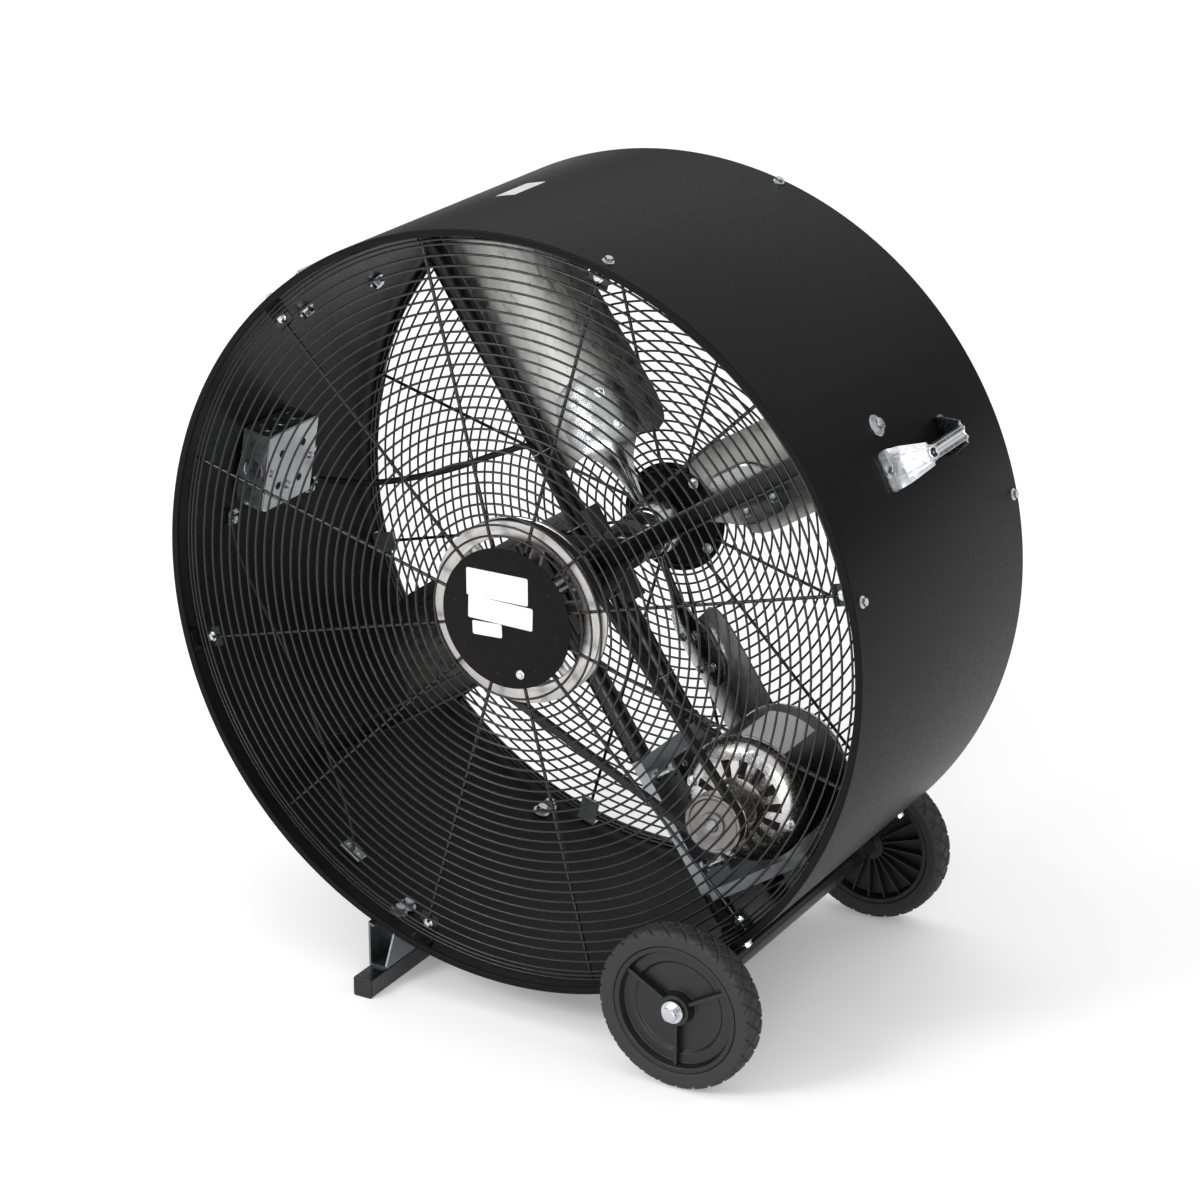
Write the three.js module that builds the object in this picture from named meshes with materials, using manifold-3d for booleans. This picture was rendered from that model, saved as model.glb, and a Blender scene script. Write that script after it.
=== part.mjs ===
// Belt-drive drum fan, 36 inch class, on two wheels and a foot tube.
//
// Units are millimetres. +Z is up, +Y runs along the drum from the intake face to the
// outlet face, +X is to the right seen from the intake side. The origin lies on the floor,
// under the middle of the drum.
//
// A sheet-steel drum stands with its axis level. Inside it a front tube, a rear tube and
// two channel arms carry two pillow blocks and the fan shaft. A folded tray bolted to the
// tubes carries the motor on four tension studs, and a V-belt drives the large sheave at
// the intake end of the shaft. Four sheet blades on pressed irons sit at the outlet end.

import * as THREE from 'three';
import { mergeVertices } from 'three/addons/utils/BufferGeometryUtils.js';
import Module from 'manifold-3d';

const wasm = await Module();
wasm.setup();

// ---------------------------------------------------------------- driving dimensions

const GAP = 0.3;                      // clearance where two separate pieces seat

// drum
const DRUM_RADIUS = 465;              // outside of the sheet
const DRUM_DEPTH = 444;               // intake face to outlet face
const DRUM_WALL = 1.6;
const RIM_HEIGHT = 9;                 // rolled edge, turned inwards
const RIM_WIDTH = 6;
const DRUM_SIDES = 60;
const DRUM_STAND = 45;                // floor to the lowest point of the drum

// grilles: ring wires welded to spokes, held by clips at every second spoke
const WIRE = 3.4;                     // wire thickness
const SPOKE_COUNT = 12;
const SPOKE_ANGLE = 15.8;             // first spoke, degrees from the top towards +X
const GRILLE_MARGIN = 13;             // outer ring inside the drum's outside
const GRILLE_HUB_RADIUS = 44;         // innermost ring, behind the centre plate
const FIRST_RING_RADIUS = 101;        // first ring outside the centre plate
const RING_PITCH = 25;                // the solid keeps every second ring wire
const FINE_RING_RADIUS = 200;         // rings from here out bend again between two spokes
const GRILLE_DEPTH = 19;              // face of the drum to the face of the wires
const CLIP_WIDTH = 26;
const CLIP_LAP = 23;                  // clip's leg past the outer ring
const CLIP_SHEET = 2.5;
const CLIP_FLANGE = 15;
const PLATE_RADIUS = 86;              // blank plate over the intake grille's middle
const PLATE_SHEET = 1.5;

// inner frame; the tubes lean by FRAME_LEAN from upright
const FRAME_LEAN = 33;                // degrees
const TUBE_RADIUS = 13.5;
const TUBE_WALL = 2;
const TUBE_SIDES = 16;
const FRONT_TUBE_DEPTH = 185;         // intake face to the front tube's centre line
const REAR_TUBE_DEPTH = 308;
const FRONT_TUBE_TOP = 66;            // front tube starts this far above the axis
const ARM_WIDTH = 24;                 // channel section of the two side arms
const ARM_DEPTH = 38;
const ARM_SHEET = 2.5;
const LEFT_ARM_DROP = 54;             // left arm passes this far below the axis
const ARM_START = 35;                 // right arm's inner end, from the axis
const ARM_LAP = 40;                   // length of each arm's back on the spider plate
const SPIDER_SHEET = 4;               // plate that joins the arms and the front tube
const SPIDER_BORE = 24;

// pillow blocks and shaft
const SHAFT_RADIUS = 10;
const BLOCK_HEIGHT = 33.3;            // base to shaft centre
const BLOCK_LENGTH = 127;
const BLOCK_WIDTH = 27;
const BLOCK_FOOT = 12;
const BLOCK_HEAD_RADIUS = 29;
const INSERT_RADIUS = 20;
const INSERT_LENGTH = 36;
const SHAFT_FRONT_DEPTH = 30;         // intake face to the shaft's front end
const SHAFT_REAR_DEPTH = 408;

// sheaves and belt
const BELT_DEPTH = 51;                // intake face to the belt's middle plane
const SHEAVE_RADIUS = 112;
const PULLEY_RADIUS = 36;
const BELT_SINK = 1;                  // belt's back below the sheave's edge
const BELT_WIDTH = 12.7;
const BELT_THICKNESS = 8;
const GROOVE_SLOPE = 18;              // degrees, each flank
const GROOVE_CLEARANCE = 0.6;
const GROOVE_FLOOR = 2.5;             // groove floor below the belt
const SHEAVE_RIM = 9;                 // metal under the groove
const SHEAVE_SPOKES = 6;
const SHEAVE_SPOKE_ANGLE = 17;
const SHEAVE_SPOKE_WIDTH = 18;
const SHEAVE_SPOKE_THICKNESS = 9;
const SHEAVE_HUB_RADIUS = 24;
const FLANK_LAND = 2.6;               // flat edge beside the groove

// motor
const MOTOR_REACH = 104;              // shaft's distance beside the fan axis, square to the tubes
const MOTOR_DROP = 320;               // and down along the tubes
const MOTOR_RADIUS = 79;
const MOTOR_SIDES = 24;
const MOTOR_FACE_DEPTH = 94;          // intake face to the front bell's nose
const MOTOR_LENGTH = 168;             // nose to nose
const FRONT_BELL_LENGTH = 34;
const REAR_BELL_LENGTH = 28;
const BELL_SHOULDER = 12;
const BELL_NOSE_RADIUS = 30;
const BELL_LIP = 3;
const BELL_NOSE_STAND = 8;            // nose boss above the vented face
const BELL_NOSE_DRAFT = 4;
const BELL_FACE_STAND = 12;
const BELL_BAND = 4;                  // straight band beside the shell
const REAR_NOSE = 8;                  // metal that closes the rear bore
const VENT_COUNT = 12;
const VENT_INNER = 36;
const VENT_OUTER = 54;
const VENT_WIDTH = 8;
const VENT_DEPTH = 9;
const MOTOR_SHAFT_RADIUS = 8;
const SHELL_PLAY = 3;                 // shell's bore round the shaft
const BASE_HEIGHT = 89;               // motor shaft above the underside of its foot
const BASE_SHEET = 4;
const BASE_LENGTH = 150;              // along the tubes
const BASE_WIDTH = 110;               // along the motor
const BASE_DEPTH = 206;               // intake face to the middle of the foot
const STUD_SPACING_LONG = 124;
const STUD_SPACING_WIDE = 76;
const STUD_RADIUS = 4.5;
const STUD_PLAY = 1.2;                // foot's holes round the studs
const STUD_STAND = 16;                // stud end above the foot
const NUT_RADIUS = 9;
const NUT_HEIGHT = 7;

// motor tray
const TRAY_SHEET = 3;
const TRAY_FRONT_DEPTH = 158;
const TRAY_WIDTH = 164;
const TRAY_LENGTH = 182;
const TRAY_TOP_DROP = 231;            // tray's upper edge below the axis, along the tubes
const TRAY_WALL = 150;                // lower end wall
const TRAY_FLANGE = 11;

// fan
const BLADE_COUNT = 4;
const BLADE_SHEET = 2;
const BLADE_TIP_GAP = 19;             // tip to the outside of the drum
const BLADE_ROOT_RADIUS = 122;
const BLADE_TIP_CHORD = 152;
const BLADE_ROOT_CHORD = 166;
const BLADE_TIP_ANGLE = 28;           // degrees from the plane of rotation
const BLADE_ROOT_ANGLE = 33;
const BLADE_SWEEP_ANGLE = -2;         // degrees that the tip leads the root
const BLADE_CAMBER = 0.1;             // bow as a share of the chord
const FAN_DEPTH = 372;                // intake face to the fan's middle plane
const FAN_ANGLE = -31;                // first blade, degrees from the top towards +X
const HUB_RADIUS = 34;
const HUB_LENGTH = 44;
const IRON_SHEET = 4;
const IRON_WIDTH = 44;
const IRON_REACH = 205;
const IRON_PLAY = 1.4;                // between an iron and its blade's facets

// electrical box on the left wall, and the motor's cable
const BOX_ANGLE = -80;
const BOX_DEPTH = 180;                // intake face to the box's middle
const BOX_SIDE = 102;
const BOX_HEIGHT = 40;
const BOX_COVER = 2;
const CABLE_RADIUS = 4;
const CLAMP_ANGLE = -88.5;            // where the cable leaves the wall
const CLAMP_DEPTH = 290;
const CLAMP_STAND = 9;                // cable's middle off the wall at the clamp
const UPPER_TIE = 152;                // cable tie above the axis, along the rear tube
const CABLE_LIFT = 15;                // cable above the tray's edge, and its straight ends
const CABLE_BELLY = 10;               // slack of the free run

// lift handles
const RIGHT_HANDLE_ANGLE = 63.3;
const LEFT_HANDLE_ANGLE = -52;
const HANDLE_DEPTH = 233;             // intake face to the handle's middle
const HANDLE_LENGTH = 170;
const HANDLE_STAND = 45;
const HANDLE_SHEET = 2;
const HANDLE_FOOT = 17;
const HANDLE_FOOT_WIDTH = 48;
const GRIP_LENGTH = 82;
const GRIP_WIDTH = 15;
const GRIP_FLANGE = 9;

// foot
const FOOT_TUBE = 25.4;               // square tube
const FOOT_WALL = 2;
const FOOT_X = -175.4;
const FOOT_OVERHANG = 38;             // tube past each face of the drum
const CAP_SHEET = 3;
const CAP_PLUG = 14;
const BRACKET_WIDTH = 65;             // along the tube
const BRACKET_LEAD = 5;               // base past the drum's face
const BRACKET_SLANT = 30;             // right web leans back this far at the drum
const BRACKET_SHEET = 2.5;
const BRACKET_TAB = 8;                // webs turn in under the drum

// wheels and axle
const WHEEL_RADIUS = 101;
const WHEEL_WIDTH = 37;
const WHEEL_GAP = 18.5;               // wheel to drum face
const AXLE_STAND = 21.5;              // axle outside the drum's sheet
const TYRE_THICKNESS = 22;
const WHEEL_SIDES = 24;
const RIM_WEB = 5;
const RIM_RIBS = 3;
const HUB_BOSS_RADIUS = 19;
const AXLE_RADIUS = 8;
const AXLE_TUBE_RADIUS = 12;
const AXLE_NUT_HEIGHT = 8;
const WASHER_SHEET = 2.5;
const WASHER_RADIUS = 14;
const SADDLE_WIDTH = 30;
const SADDLE_SPAN = 60;

// ---------------------------------------------------------------- derived places

const RAD = Math.PI / 180;
const AXIS_HEIGHT = DRUM_RADIUS + DRUM_STAND;
const INTAKE_Y = -DRUM_DEPTH / 2;
const OUTLET_Y = DRUM_DEPTH / 2;
const DRUM_INNER = DRUM_RADIUS - DRUM_WALL;
const GRILLE_RADIUS = DRUM_RADIUS - GRILLE_MARGIN;
const BLADE_TIP_RADIUS = DRUM_RADIUS - BLADE_TIP_GAP;
const DRUM_INNER_FLAT = DRUM_INNER * Math.cos(Math.PI / DRUM_SIDES);
const TUBE_OFFSET = -(BLOCK_HEIGHT + TUBE_RADIUS + GAP);
const FRONT_TUBE_Y = INTAKE_Y + FRONT_TUBE_DEPTH;
const REAR_TUBE_Y = INTAKE_Y + REAR_TUBE_DEPTH;
const BELT_Y = INTAKE_Y + BELT_DEPTH;
const FAN_Y = INTAKE_Y + FAN_DEPTH;
const SHEAVE_WIDTH = BELT_WIDTH + 2 * (GROOVE_CLEARANCE + FLANK_LAND + BELT_SINK);
const MOTOR_FRONT_Y = INTAKE_Y + MOTOR_FACE_DEPTH;
const SHELL_FRONT_Y = MOTOR_FRONT_Y + FRONT_BELL_LENGTH + GAP;
const SHELL_REAR_Y = MOTOR_FRONT_Y + MOTOR_LENGTH - REAR_BELL_LENGTH - GAP;
const AXLE_DROP = AXIS_HEIGHT - WHEEL_RADIUS;
const WHEEL_X = Math.sqrt((DRUM_RADIUS + AXLE_STAND) ** 2 - AXLE_DROP ** 2);
const TRAY_X = TUBE_OFFSET + TUBE_RADIUS + GAP;
const BASE_X = MOTOR_REACH - BASE_HEIGHT;
const BASE_Y = INTAKE_Y + BASE_DEPTH;

// ---------------------------------------------------------------- helpers

// Merges a geometry's shared vertices, drops flat triangles and turns its faces outwards.
function closed(geometry) {
  const bare = geometry.clone();
  bare.deleteAttribute('normal');
  bare.deleteAttribute('uv');
  const merged = mergeVertices(bare, 1e-4);
  const points = merged.getAttribute('position');
  const faces = merged.getIndex().array;
  const kept = [];
  let volume = 0;
  const a = new THREE.Vector3();
  const b = new THREE.Vector3();
  const c = new THREE.Vector3();
  for (let i = 0; i < faces.length; i += 3) {
    const [p, q, r] = [faces[i], faces[i + 1], faces[i + 2]];
    if (p === q || q === r || r === p) continue;
    kept.push(p, q, r);
    a.fromBufferAttribute(points, p);
    b.fromBufferAttribute(points, q);
    c.fromBufferAttribute(points, r);
    volume += a.dot(b.cross(c));
  }
  if (volume < 0) kept.reverse();
  merged.setIndex(kept);
  return merged;
}

function solid(geometry) {
  const ready = closed(geometry);
  return new wasm.Manifold(new wasm.Mesh({
    numProp: 3,
    vertProperties: Float32Array.from(ready.getAttribute('position').array),
    triVerts: Uint32Array.from(ready.getIndex().array),
  }));
}

function toGeometry(body) {
  const mesh = body.getMesh();
  const geometry = new THREE.BufferGeometry();
  geometry.setAttribute('position', new THREE.BufferAttribute(mesh.vertProperties, 3));
  geometry.setIndex(new THREE.BufferAttribute(mesh.triVerts, 1));
  return geometry;
}

// Joins the first geometry with those in added and cuts away those in removed.
function shape(first, added = [], removed = []) {
  let body = solid(first);
  for (const geometry of added) body = body.add(solid(geometry));
  for (const geometry of removed) body = body.subtract(solid(geometry));
  return toGeometry(body);
}

// A box between two corners.
function block(x0, x1, y0, y1, z0, z1) {
  const box = new THREE.BoxGeometry(x1 - x0, y1 - y0, z1 - z0);
  return box.translate((x0 + x1) / 2, (y0 + y1) / 2, (z0 + z1) / 2);
}

// A round bar along Y.
function bar(radius, y0, y1, sides, x = 0, z = 0) {
  const cylinder = new THREE.CylinderGeometry(radius, radius, y1 - y0, sides);
  return cylinder.translate(x, (y0 + y1) / 2, z);
}

// Revolves [radius, y] points round the Y axis; the outline closes on itself.
function revolve(outline, sides) {
  const points = outline.map(([radius, y]) => new THREE.Vector2(radius, y));
  points.push(points[0].clone());
  return closed(new THREE.LatheGeometry(points, sides));
}

// Extrudes [x, z] points along Y from y0 to y1, round any holes.
function prism(outline, y0, y1, holes = []) {
  const loop = (pairs, clockwise) => {
    const points = pairs.map(([x, z]) => new THREE.Vector2(x, z));
    return THREE.ShapeUtils.isClockWise(points) === clockwise ? points : points.reverse();
  };
  const plan = new THREE.Shape(loop(outline, false));
  for (const hole of holes) plan.holes.push(new THREE.Path(loop(hole, true)));
  const body = new THREE.ExtrudeGeometry(plan, { depth: y1 - y0, bevelEnabled: false });
  return closed(body.rotateX(Math.PI / 2).translate(0, y1, 0));
}

// A plain tube of a given radius along a smooth curve through [x, y, z] points.
function cord(points, radius, sides, steps) {
  const path = new THREE.CatmullRomCurve3(points.map((p) => new THREE.Vector3(...p)));
  const ring = new THREE.Shape();
  ring.absarc(0, 0, radius, 0, 2 * Math.PI, false);
  return closed(new THREE.ExtrudeGeometry(ring, {
    steps, extrudePath: path, curveSegments: sides / 2, bevelEnabled: false,
  }));
}

function polar(radius, degrees) {
  return [radius * Math.sin(degrees * RAD), radius * Math.cos(degrees * RAD)];
}

const finishes = {
  powder_black: { color: 0x17171a, roughness: 0.55, metalness: 0.1 },
  wire_black: { color: 0x111113, roughness: 0.35, metalness: 0.2 },
  frame_black: { color: 0x1a1a1c, roughness: 0.4, metalness: 0.2 },
  zinc: { color: 0xc4c7c9, roughness: 0.3, metalness: 0.9 },
  galvanised: { color: 0xa9adaf, roughness: 0.4, metalness: 0.85 },
  blade_aluminium: { color: 0x9a9c9e, roughness: 0.32, metalness: 0.9 },
  cast_aluminium: { color: 0xa8a6a0, roughness: 0.45, metalness: 0.85 },
  steel: { color: 0x8d8f92, roughness: 0.3, metalness: 0.9 },
  belt_rubber: { color: 0x1c1c1d, roughness: 0.75, metalness: 0 },
  cable_rubber: { color: 0x141415, roughness: 0.6, metalness: 0 },
  tyre_rubber: { color: 0x262627, roughness: 0.85, metalness: 0 },
  wheel_plastic: { color: 0x18181a, roughness: 0.5, metalness: 0 },
  bracket_grey: { color: 0x8a8c8e, roughness: 0.45, metalness: 0.6 },
};

function piece(parent, name, finish, geometry) {
  const material = new THREE.MeshStandardMaterial(finishes[finish]);
  const mesh = new THREE.Mesh(geometry, material);
  mesh.name = name;
  parent.add(mesh);
  return mesh;
}

const fan = new THREE.Group();            // the handed-in object
const axis = new THREE.Group();           // origin on the drum's axis, mid-depth
axis.position.z = AXIS_HEIGHT;
fan.add(axis);
const frame = new THREE.Group();          // +Z up along the tubes, +X square to them
frame.rotation.y = -FRAME_LEAN * RAD;
axis.add(frame);

// A group turned so that its +Z points out through the drum wall at an angle.
function wallGroup(degrees) {
  const group = new THREE.Group();
  group.rotation.y = degrees * RAD;
  axis.add(group);
  return group;
}

// ---------------------------------------------------------------- drum

function makeDrum() {
  const lip = DRUM_RADIUS - RIM_HEIGHT;
  const sheet = revolve([
    [DRUM_RADIUS, INTAKE_Y],
    [DRUM_RADIUS, OUTLET_Y],
    [lip, OUTLET_Y],
    [lip, OUTLET_Y - RIM_WIDTH],
    [DRUM_INNER, OUTLET_Y - RIM_WIDTH],
    [DRUM_INNER, INTAKE_Y + RIM_WIDTH],
    [lip, INTAKE_Y + RIM_WIDTH],
    [lip, INTAKE_Y],
  ], DRUM_SIDES);
  piece(axis, 'drum', 'powder_black', sheet);
}

// ---------------------------------------------------------------- grilles

// Ring radii from the hub ring outwards.
function ringRadii() {
  const radii = [GRILLE_HUB_RADIUS];
  const count = Math.round((GRILLE_RADIUS - FIRST_RING_RADIUS) / RING_PITCH);
  for (let i = 0; i <= count; i += 1) {
    radii.push(FIRST_RING_RADIUS + ((GRILLE_RADIUS - FIRST_RING_RADIUS) * i) / count);
  }
  return radii;
}

// An L-shaped clip: a leg under the wires and a flange along the wall, towards the mouth.
function grilleClip(degrees, faceY, inwards) {
  const seat = DRUM_INNER_FLAT - GAP;
  const reach = Math.sqrt(seat * seat - (CLIP_WIDTH * CLIP_WIDTH) / 4);
  const legStart = faceY + inwards * WIRE * 0.5;
  const legEnd = legStart + inwards * CLIP_SHEET;
  const flangeEnd = legEnd - inwards * CLIP_FLANGE;
  const half = CLIP_WIDTH / 2;
  const span = (from, to) => [Math.min(from, to), Math.max(from, to)];
  const legInner = GRILLE_RADIUS - CLIP_LAP;
  const leg = block(-half, half, ...span(legStart, legEnd), legInner, reach);
  const flange = block(-half, half, ...span(legEnd, flangeEnd), reach - CLIP_SHEET, reach);
  return [leg.rotateY(degrees * RAD), flange.rotateY(degrees * RAD)];
}

// A welded wire grille as one lattice. Every wire is a triangle in section: a flat on the
// face that looks out of the drum, and a ridge one wire deeper. Where a ring crosses a
// spoke their flats share a small square, and their ridges meet under its middle.
function latticeGeometry(faceY, inwards) {
  const positions = [];
  const triangle = (a, b, c) => positions.push(...a, ...b, ...c);
  const quad = (a, b, c, d) => {
    triangle(a, b, c);
    triangle(a, c, d);
  };
  const half = WIRE / 2;
  const step = 360 / SPOKE_COUNT;
  const radii = ringRadii();
  const onFace = (radius, degrees) => [polar(radius, degrees)[0], faceY, polar(radius, degrees)[1]];
  const onRidge = (radius, degrees) => {
    const [x, z] = polar(radius, degrees);
    return [x, faceY + inwards * WIRE, z];
  };
  // side: -1 or 1 before or after the spoke; edge: -1 or 1 inside or outside the ring
  const corner = (ring, spoke, side, edge) => {
    const radius = radii[ring] + edge * half;
    const along = Math.sqrt(radius * radius - half * half);
    const [x, z] = polar(1, SPOKE_ANGLE + (spoke % SPOKE_COUNT) * step);
    return [along * x + side * half * z, faceY, along * z - side * half * x];
  };
  const crossing = (ring, spoke) => (
    onRidge(radii[ring], SPOKE_ANGLE + (spoke % SPOKE_COUNT) * step)
  );

  const addRingPart = (ring, spoke) => {
    const radius = radii[ring];
    const middle = SPOKE_ANGLE + (spoke + 0.5) * step;
    const inner = [corner(ring, spoke, 1, -1), corner(ring, spoke + 1, -1, -1)];
    const outer = [corner(ring, spoke, 1, 1), corner(ring, spoke + 1, -1, 1)];
    const ridge = [crossing(ring, spoke), crossing(ring, spoke + 1)];
    if (radius >= FINE_RING_RADIUS) {
      inner.splice(1, 0, onFace(radius - half, middle));
      outer.splice(1, 0, onFace(radius + half, middle));
      ridge.splice(1, 0, onRidge(radius, middle));
    }
    for (let j = 0; j + 1 < ridge.length; j += 1) {
      quad(inner[j], inner[j + 1], outer[j + 1], outer[j]);
      quad(inner[j + 1], inner[j], ridge[j], ridge[j + 1]);
      quad(outer[j], outer[j + 1], ridge[j + 1], ridge[j]);
    }
  };
  const addSpokePart = (ring, spoke) => {
    const [before, after] = [corner(ring, spoke, -1, 1), corner(ring, spoke, 1, 1)];
    const [beyond, past] = [corner(ring + 1, spoke, -1, -1), corner(ring + 1, spoke, 1, -1)];
    quad(before, after, past, beyond);
    quad(past, after, crossing(ring, spoke), crossing(ring + 1, spoke));
    quad(before, beyond, crossing(ring + 1, spoke), crossing(ring, spoke));
  };
  const addCrossing = (ring, spoke) => {
    const inner = [corner(ring, spoke, -1, -1), corner(ring, spoke, 1, -1)];
    const outer = [corner(ring, spoke, -1, 1), corner(ring, spoke, 1, 1)];
    quad(inner[0], inner[1], outer[1], outer[0]);
    if (ring === 0) triangle(inner[1], inner[0], crossing(ring, spoke));
    if (ring === radii.length - 1) triangle(outer[0], outer[1], crossing(ring, spoke));
  };
  for (let ring = 0; ring < radii.length; ring += 1) {
    for (let spoke = 0; spoke < SPOKE_COUNT; spoke += 1) {
      addRingPart(ring, spoke);
      addCrossing(ring, spoke);
      if (ring + 1 < radii.length) addSpokePart(ring, spoke);
    }
  }
  const lattice = new THREE.BufferGeometry();
  lattice.setAttribute('position', new THREE.Float32BufferAttribute(positions, 3));
  return closed(lattice);
}

function makeGrille(name, outerFaceY, inwards) {
  const clips = [];
  for (let i = 0; i < SPOKE_COUNT; i += 2) {
    const degrees = SPOKE_ANGLE + (i * 360) / SPOKE_COUNT;
    clips.push(...grilleClip(degrees, outerFaceY, inwards));
  }
  piece(axis, name, 'wire_black', shape(latticeGeometry(outerFaceY, inwards), clips));
}

function makeCentrePlate() {
  const back = INTAKE_Y + GRILLE_DEPTH - GAP;
  piece(axis, 'centre_plate', 'powder_black', closed(bar(PLATE_RADIUS, back - PLATE_SHEET, back, 32)));
}

// ---------------------------------------------------------------- inner frame

// A round tube along the frame's Z axis whose ends stop just inside the drum wall.
function frameTube(y, zTop, zBottom) {
  const outer = bar(TUBE_RADIUS, zBottom, zTop, TUBE_SIDES);
  const inner = bar(TUBE_RADIUS - TUBE_WALL, zBottom - TUBE_WALL, zTop + TUBE_WALL, TUBE_SIDES);
  const tube = shape(outer, [], [inner]);
  return tube.rotateX(Math.PI / 2).translate(TUBE_OFFSET, y, 0);
}

function tubeEnd() {
  const reach = DRUM_INNER_FLAT - GAP;
  const side = Math.abs(TUBE_OFFSET) + TUBE_RADIUS;
  return Math.sqrt(reach * reach - side * side);
}

// A channel arm along X, open towards the intake side and closed at its wall end.
function channelArm(xInner, xWall, z) {
  const half = ARM_WIDTH / 2;
  const y1 = FRONT_TUBE_Y + TUBE_RADIUS;
  const y0 = y1 - ARM_DEPTH;
  const outwards = Math.sign(xWall - xInner);
  const [x0, x1] = [Math.min(xInner, xWall), Math.max(xInner, xWall)];
  const start = xInner - outwards * ARM_SHEET;
  const end = xWall - outwards * ARM_SHEET;
  const hollow = block(
    Math.min(start, end), Math.max(start, end),
    y0 - ARM_SHEET, y1 - ARM_SHEET,
    z - half + ARM_SHEET, z + half - ARM_SHEET,
  );
  return shape(block(x0, x1, y0, y1, z - half, z + half), [], [hollow]);
}

// The plate behind the front pillow block that carries the front tube and both arms.
function spiderPlate() {
  const half = ARM_WIDTH / 2;
  const left = TUBE_OFFSET - TUBE_RADIUS;
  const right = TUBE_OFFSET + TUBE_RADIUS;
  const lowest = -LEFT_ARM_DROP - half;
  const outline = [
    [left, FRONT_TUBE_TOP],
    [right, FRONT_TUBE_TOP],
    [ARM_START + ARM_LAP, half],
    [ARM_START + ARM_LAP, -half],
    [right, lowest],
    [left - ARM_LAP, lowest],
    [left - ARM_LAP, lowest + ARM_WIDTH],
    [left, lowest + 2 * ARM_WIDTH],
  ];
  const bore = Array.from({ length: 16 }, (_, i) => polar(SPIDER_BORE, i * 22.5));
  const y0 = FRONT_TUBE_Y + TUBE_RADIUS + GAP;
  return prism(outline, y0, y0 + SPIDER_SHEET, [bore]);
}

function makeInnerFrame() {
  const end = tubeEnd();
  piece(frame, 'rear_tube', 'frame_black', frameTube(REAR_TUBE_Y, end, -end));
  piece(frame, 'front_tube', 'frame_black', frameTube(FRONT_TUBE_Y, FRONT_TUBE_TOP, -end));
  const reach = DRUM_INNER_FLAT - GAP;
  const half = ARM_WIDTH / 2;
  const rightEnd = Math.sqrt(reach * reach - half * half);
  const leftDrop = LEFT_ARM_DROP + half;
  const leftEnd = Math.sqrt(reach * reach - leftDrop * leftDrop);
  piece(frame, 'right_arm', 'frame_black', channelArm(ARM_START, rightEnd, 0));
  const leftInner = TUBE_OFFSET - TUBE_RADIUS - GAP;
  piece(frame, 'left_arm', 'frame_black', channelArm(leftInner, -leftEnd, -LEFT_ARM_DROP));
  piece(frame, 'spider_plate', 'frame_black', spiderPlate());
}

// A pillow block: a foot along the tube, a round head and a bore for the insert.
function pillowBlock(y) {
  const half = BLOCK_WIDTH / 2;
  const base = -BLOCK_HEIGHT;
  const foot = block(
    base, base + BLOCK_FOOT, y - half, y + half, -BLOCK_LENGTH / 2, BLOCK_LENGTH / 2,
  );
  const neck = block(base, 0, y - half * 0.7, y + half * 0.7, -BLOCK_HEAD_RADIUS, BLOCK_HEAD_RADIUS);
  const head = bar(BLOCK_HEAD_RADIUS, y - half * 0.7, y + half * 0.7, 20);
  const bore = bar(INSERT_RADIUS + GAP, y - half - 1, y + half + 1, 16);
  return shape(foot, [neck, head], [bore]);
}

function bearingInsert(y) {
  const half = INSERT_LENGTH / 2;
  return revolve([
    [INSERT_RADIUS, y - half * 0.5],
    [INSERT_RADIUS, y + half * 0.5],
    [INSERT_RADIUS - 5, y + half],
    [SHAFT_RADIUS + GAP, y + half],
    [SHAFT_RADIUS + GAP, y - half],
    [INSERT_RADIUS - 5, y - half],
  ], 16);
}

function makeBearings() {
  piece(frame, 'front_pillow_block', 'frame_black', pillowBlock(FRONT_TUBE_Y));
  piece(frame, 'rear_pillow_block', 'frame_black', pillowBlock(REAR_TUBE_Y));
  piece(frame, 'front_bearing_insert', 'steel', bearingInsert(FRONT_TUBE_Y));
  piece(frame, 'rear_bearing_insert', 'steel', bearingInsert(REAR_TUBE_Y));
}

// ---------------------------------------------------------------- belt drive

// A V-groove outline for a sheave of a given radius; boreRadius closes it at the middle.
function grooveOutline(radius, boreRadius) {
  const half = SHEAVE_WIDTH / 2;
  const floor = radius - BELT_SINK - BELT_THICKNESS - GROOVE_FLOOR;
  const mouth = BELT_WIDTH / 2 + GROOVE_CLEARANCE + BELT_SINK * Math.tan(GROOVE_SLOPE * RAD);
  const bottom = mouth - (radius - floor) * Math.tan(GROOVE_SLOPE * RAD);
  return [
    [radius, -half],
    [radius, -mouth],
    [floor, -bottom],
    [floor, bottom],
    [radius, mouth],
    [radius, half],
    [boreRadius, half],
    [boreRadius, -half],
  ];
}

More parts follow.
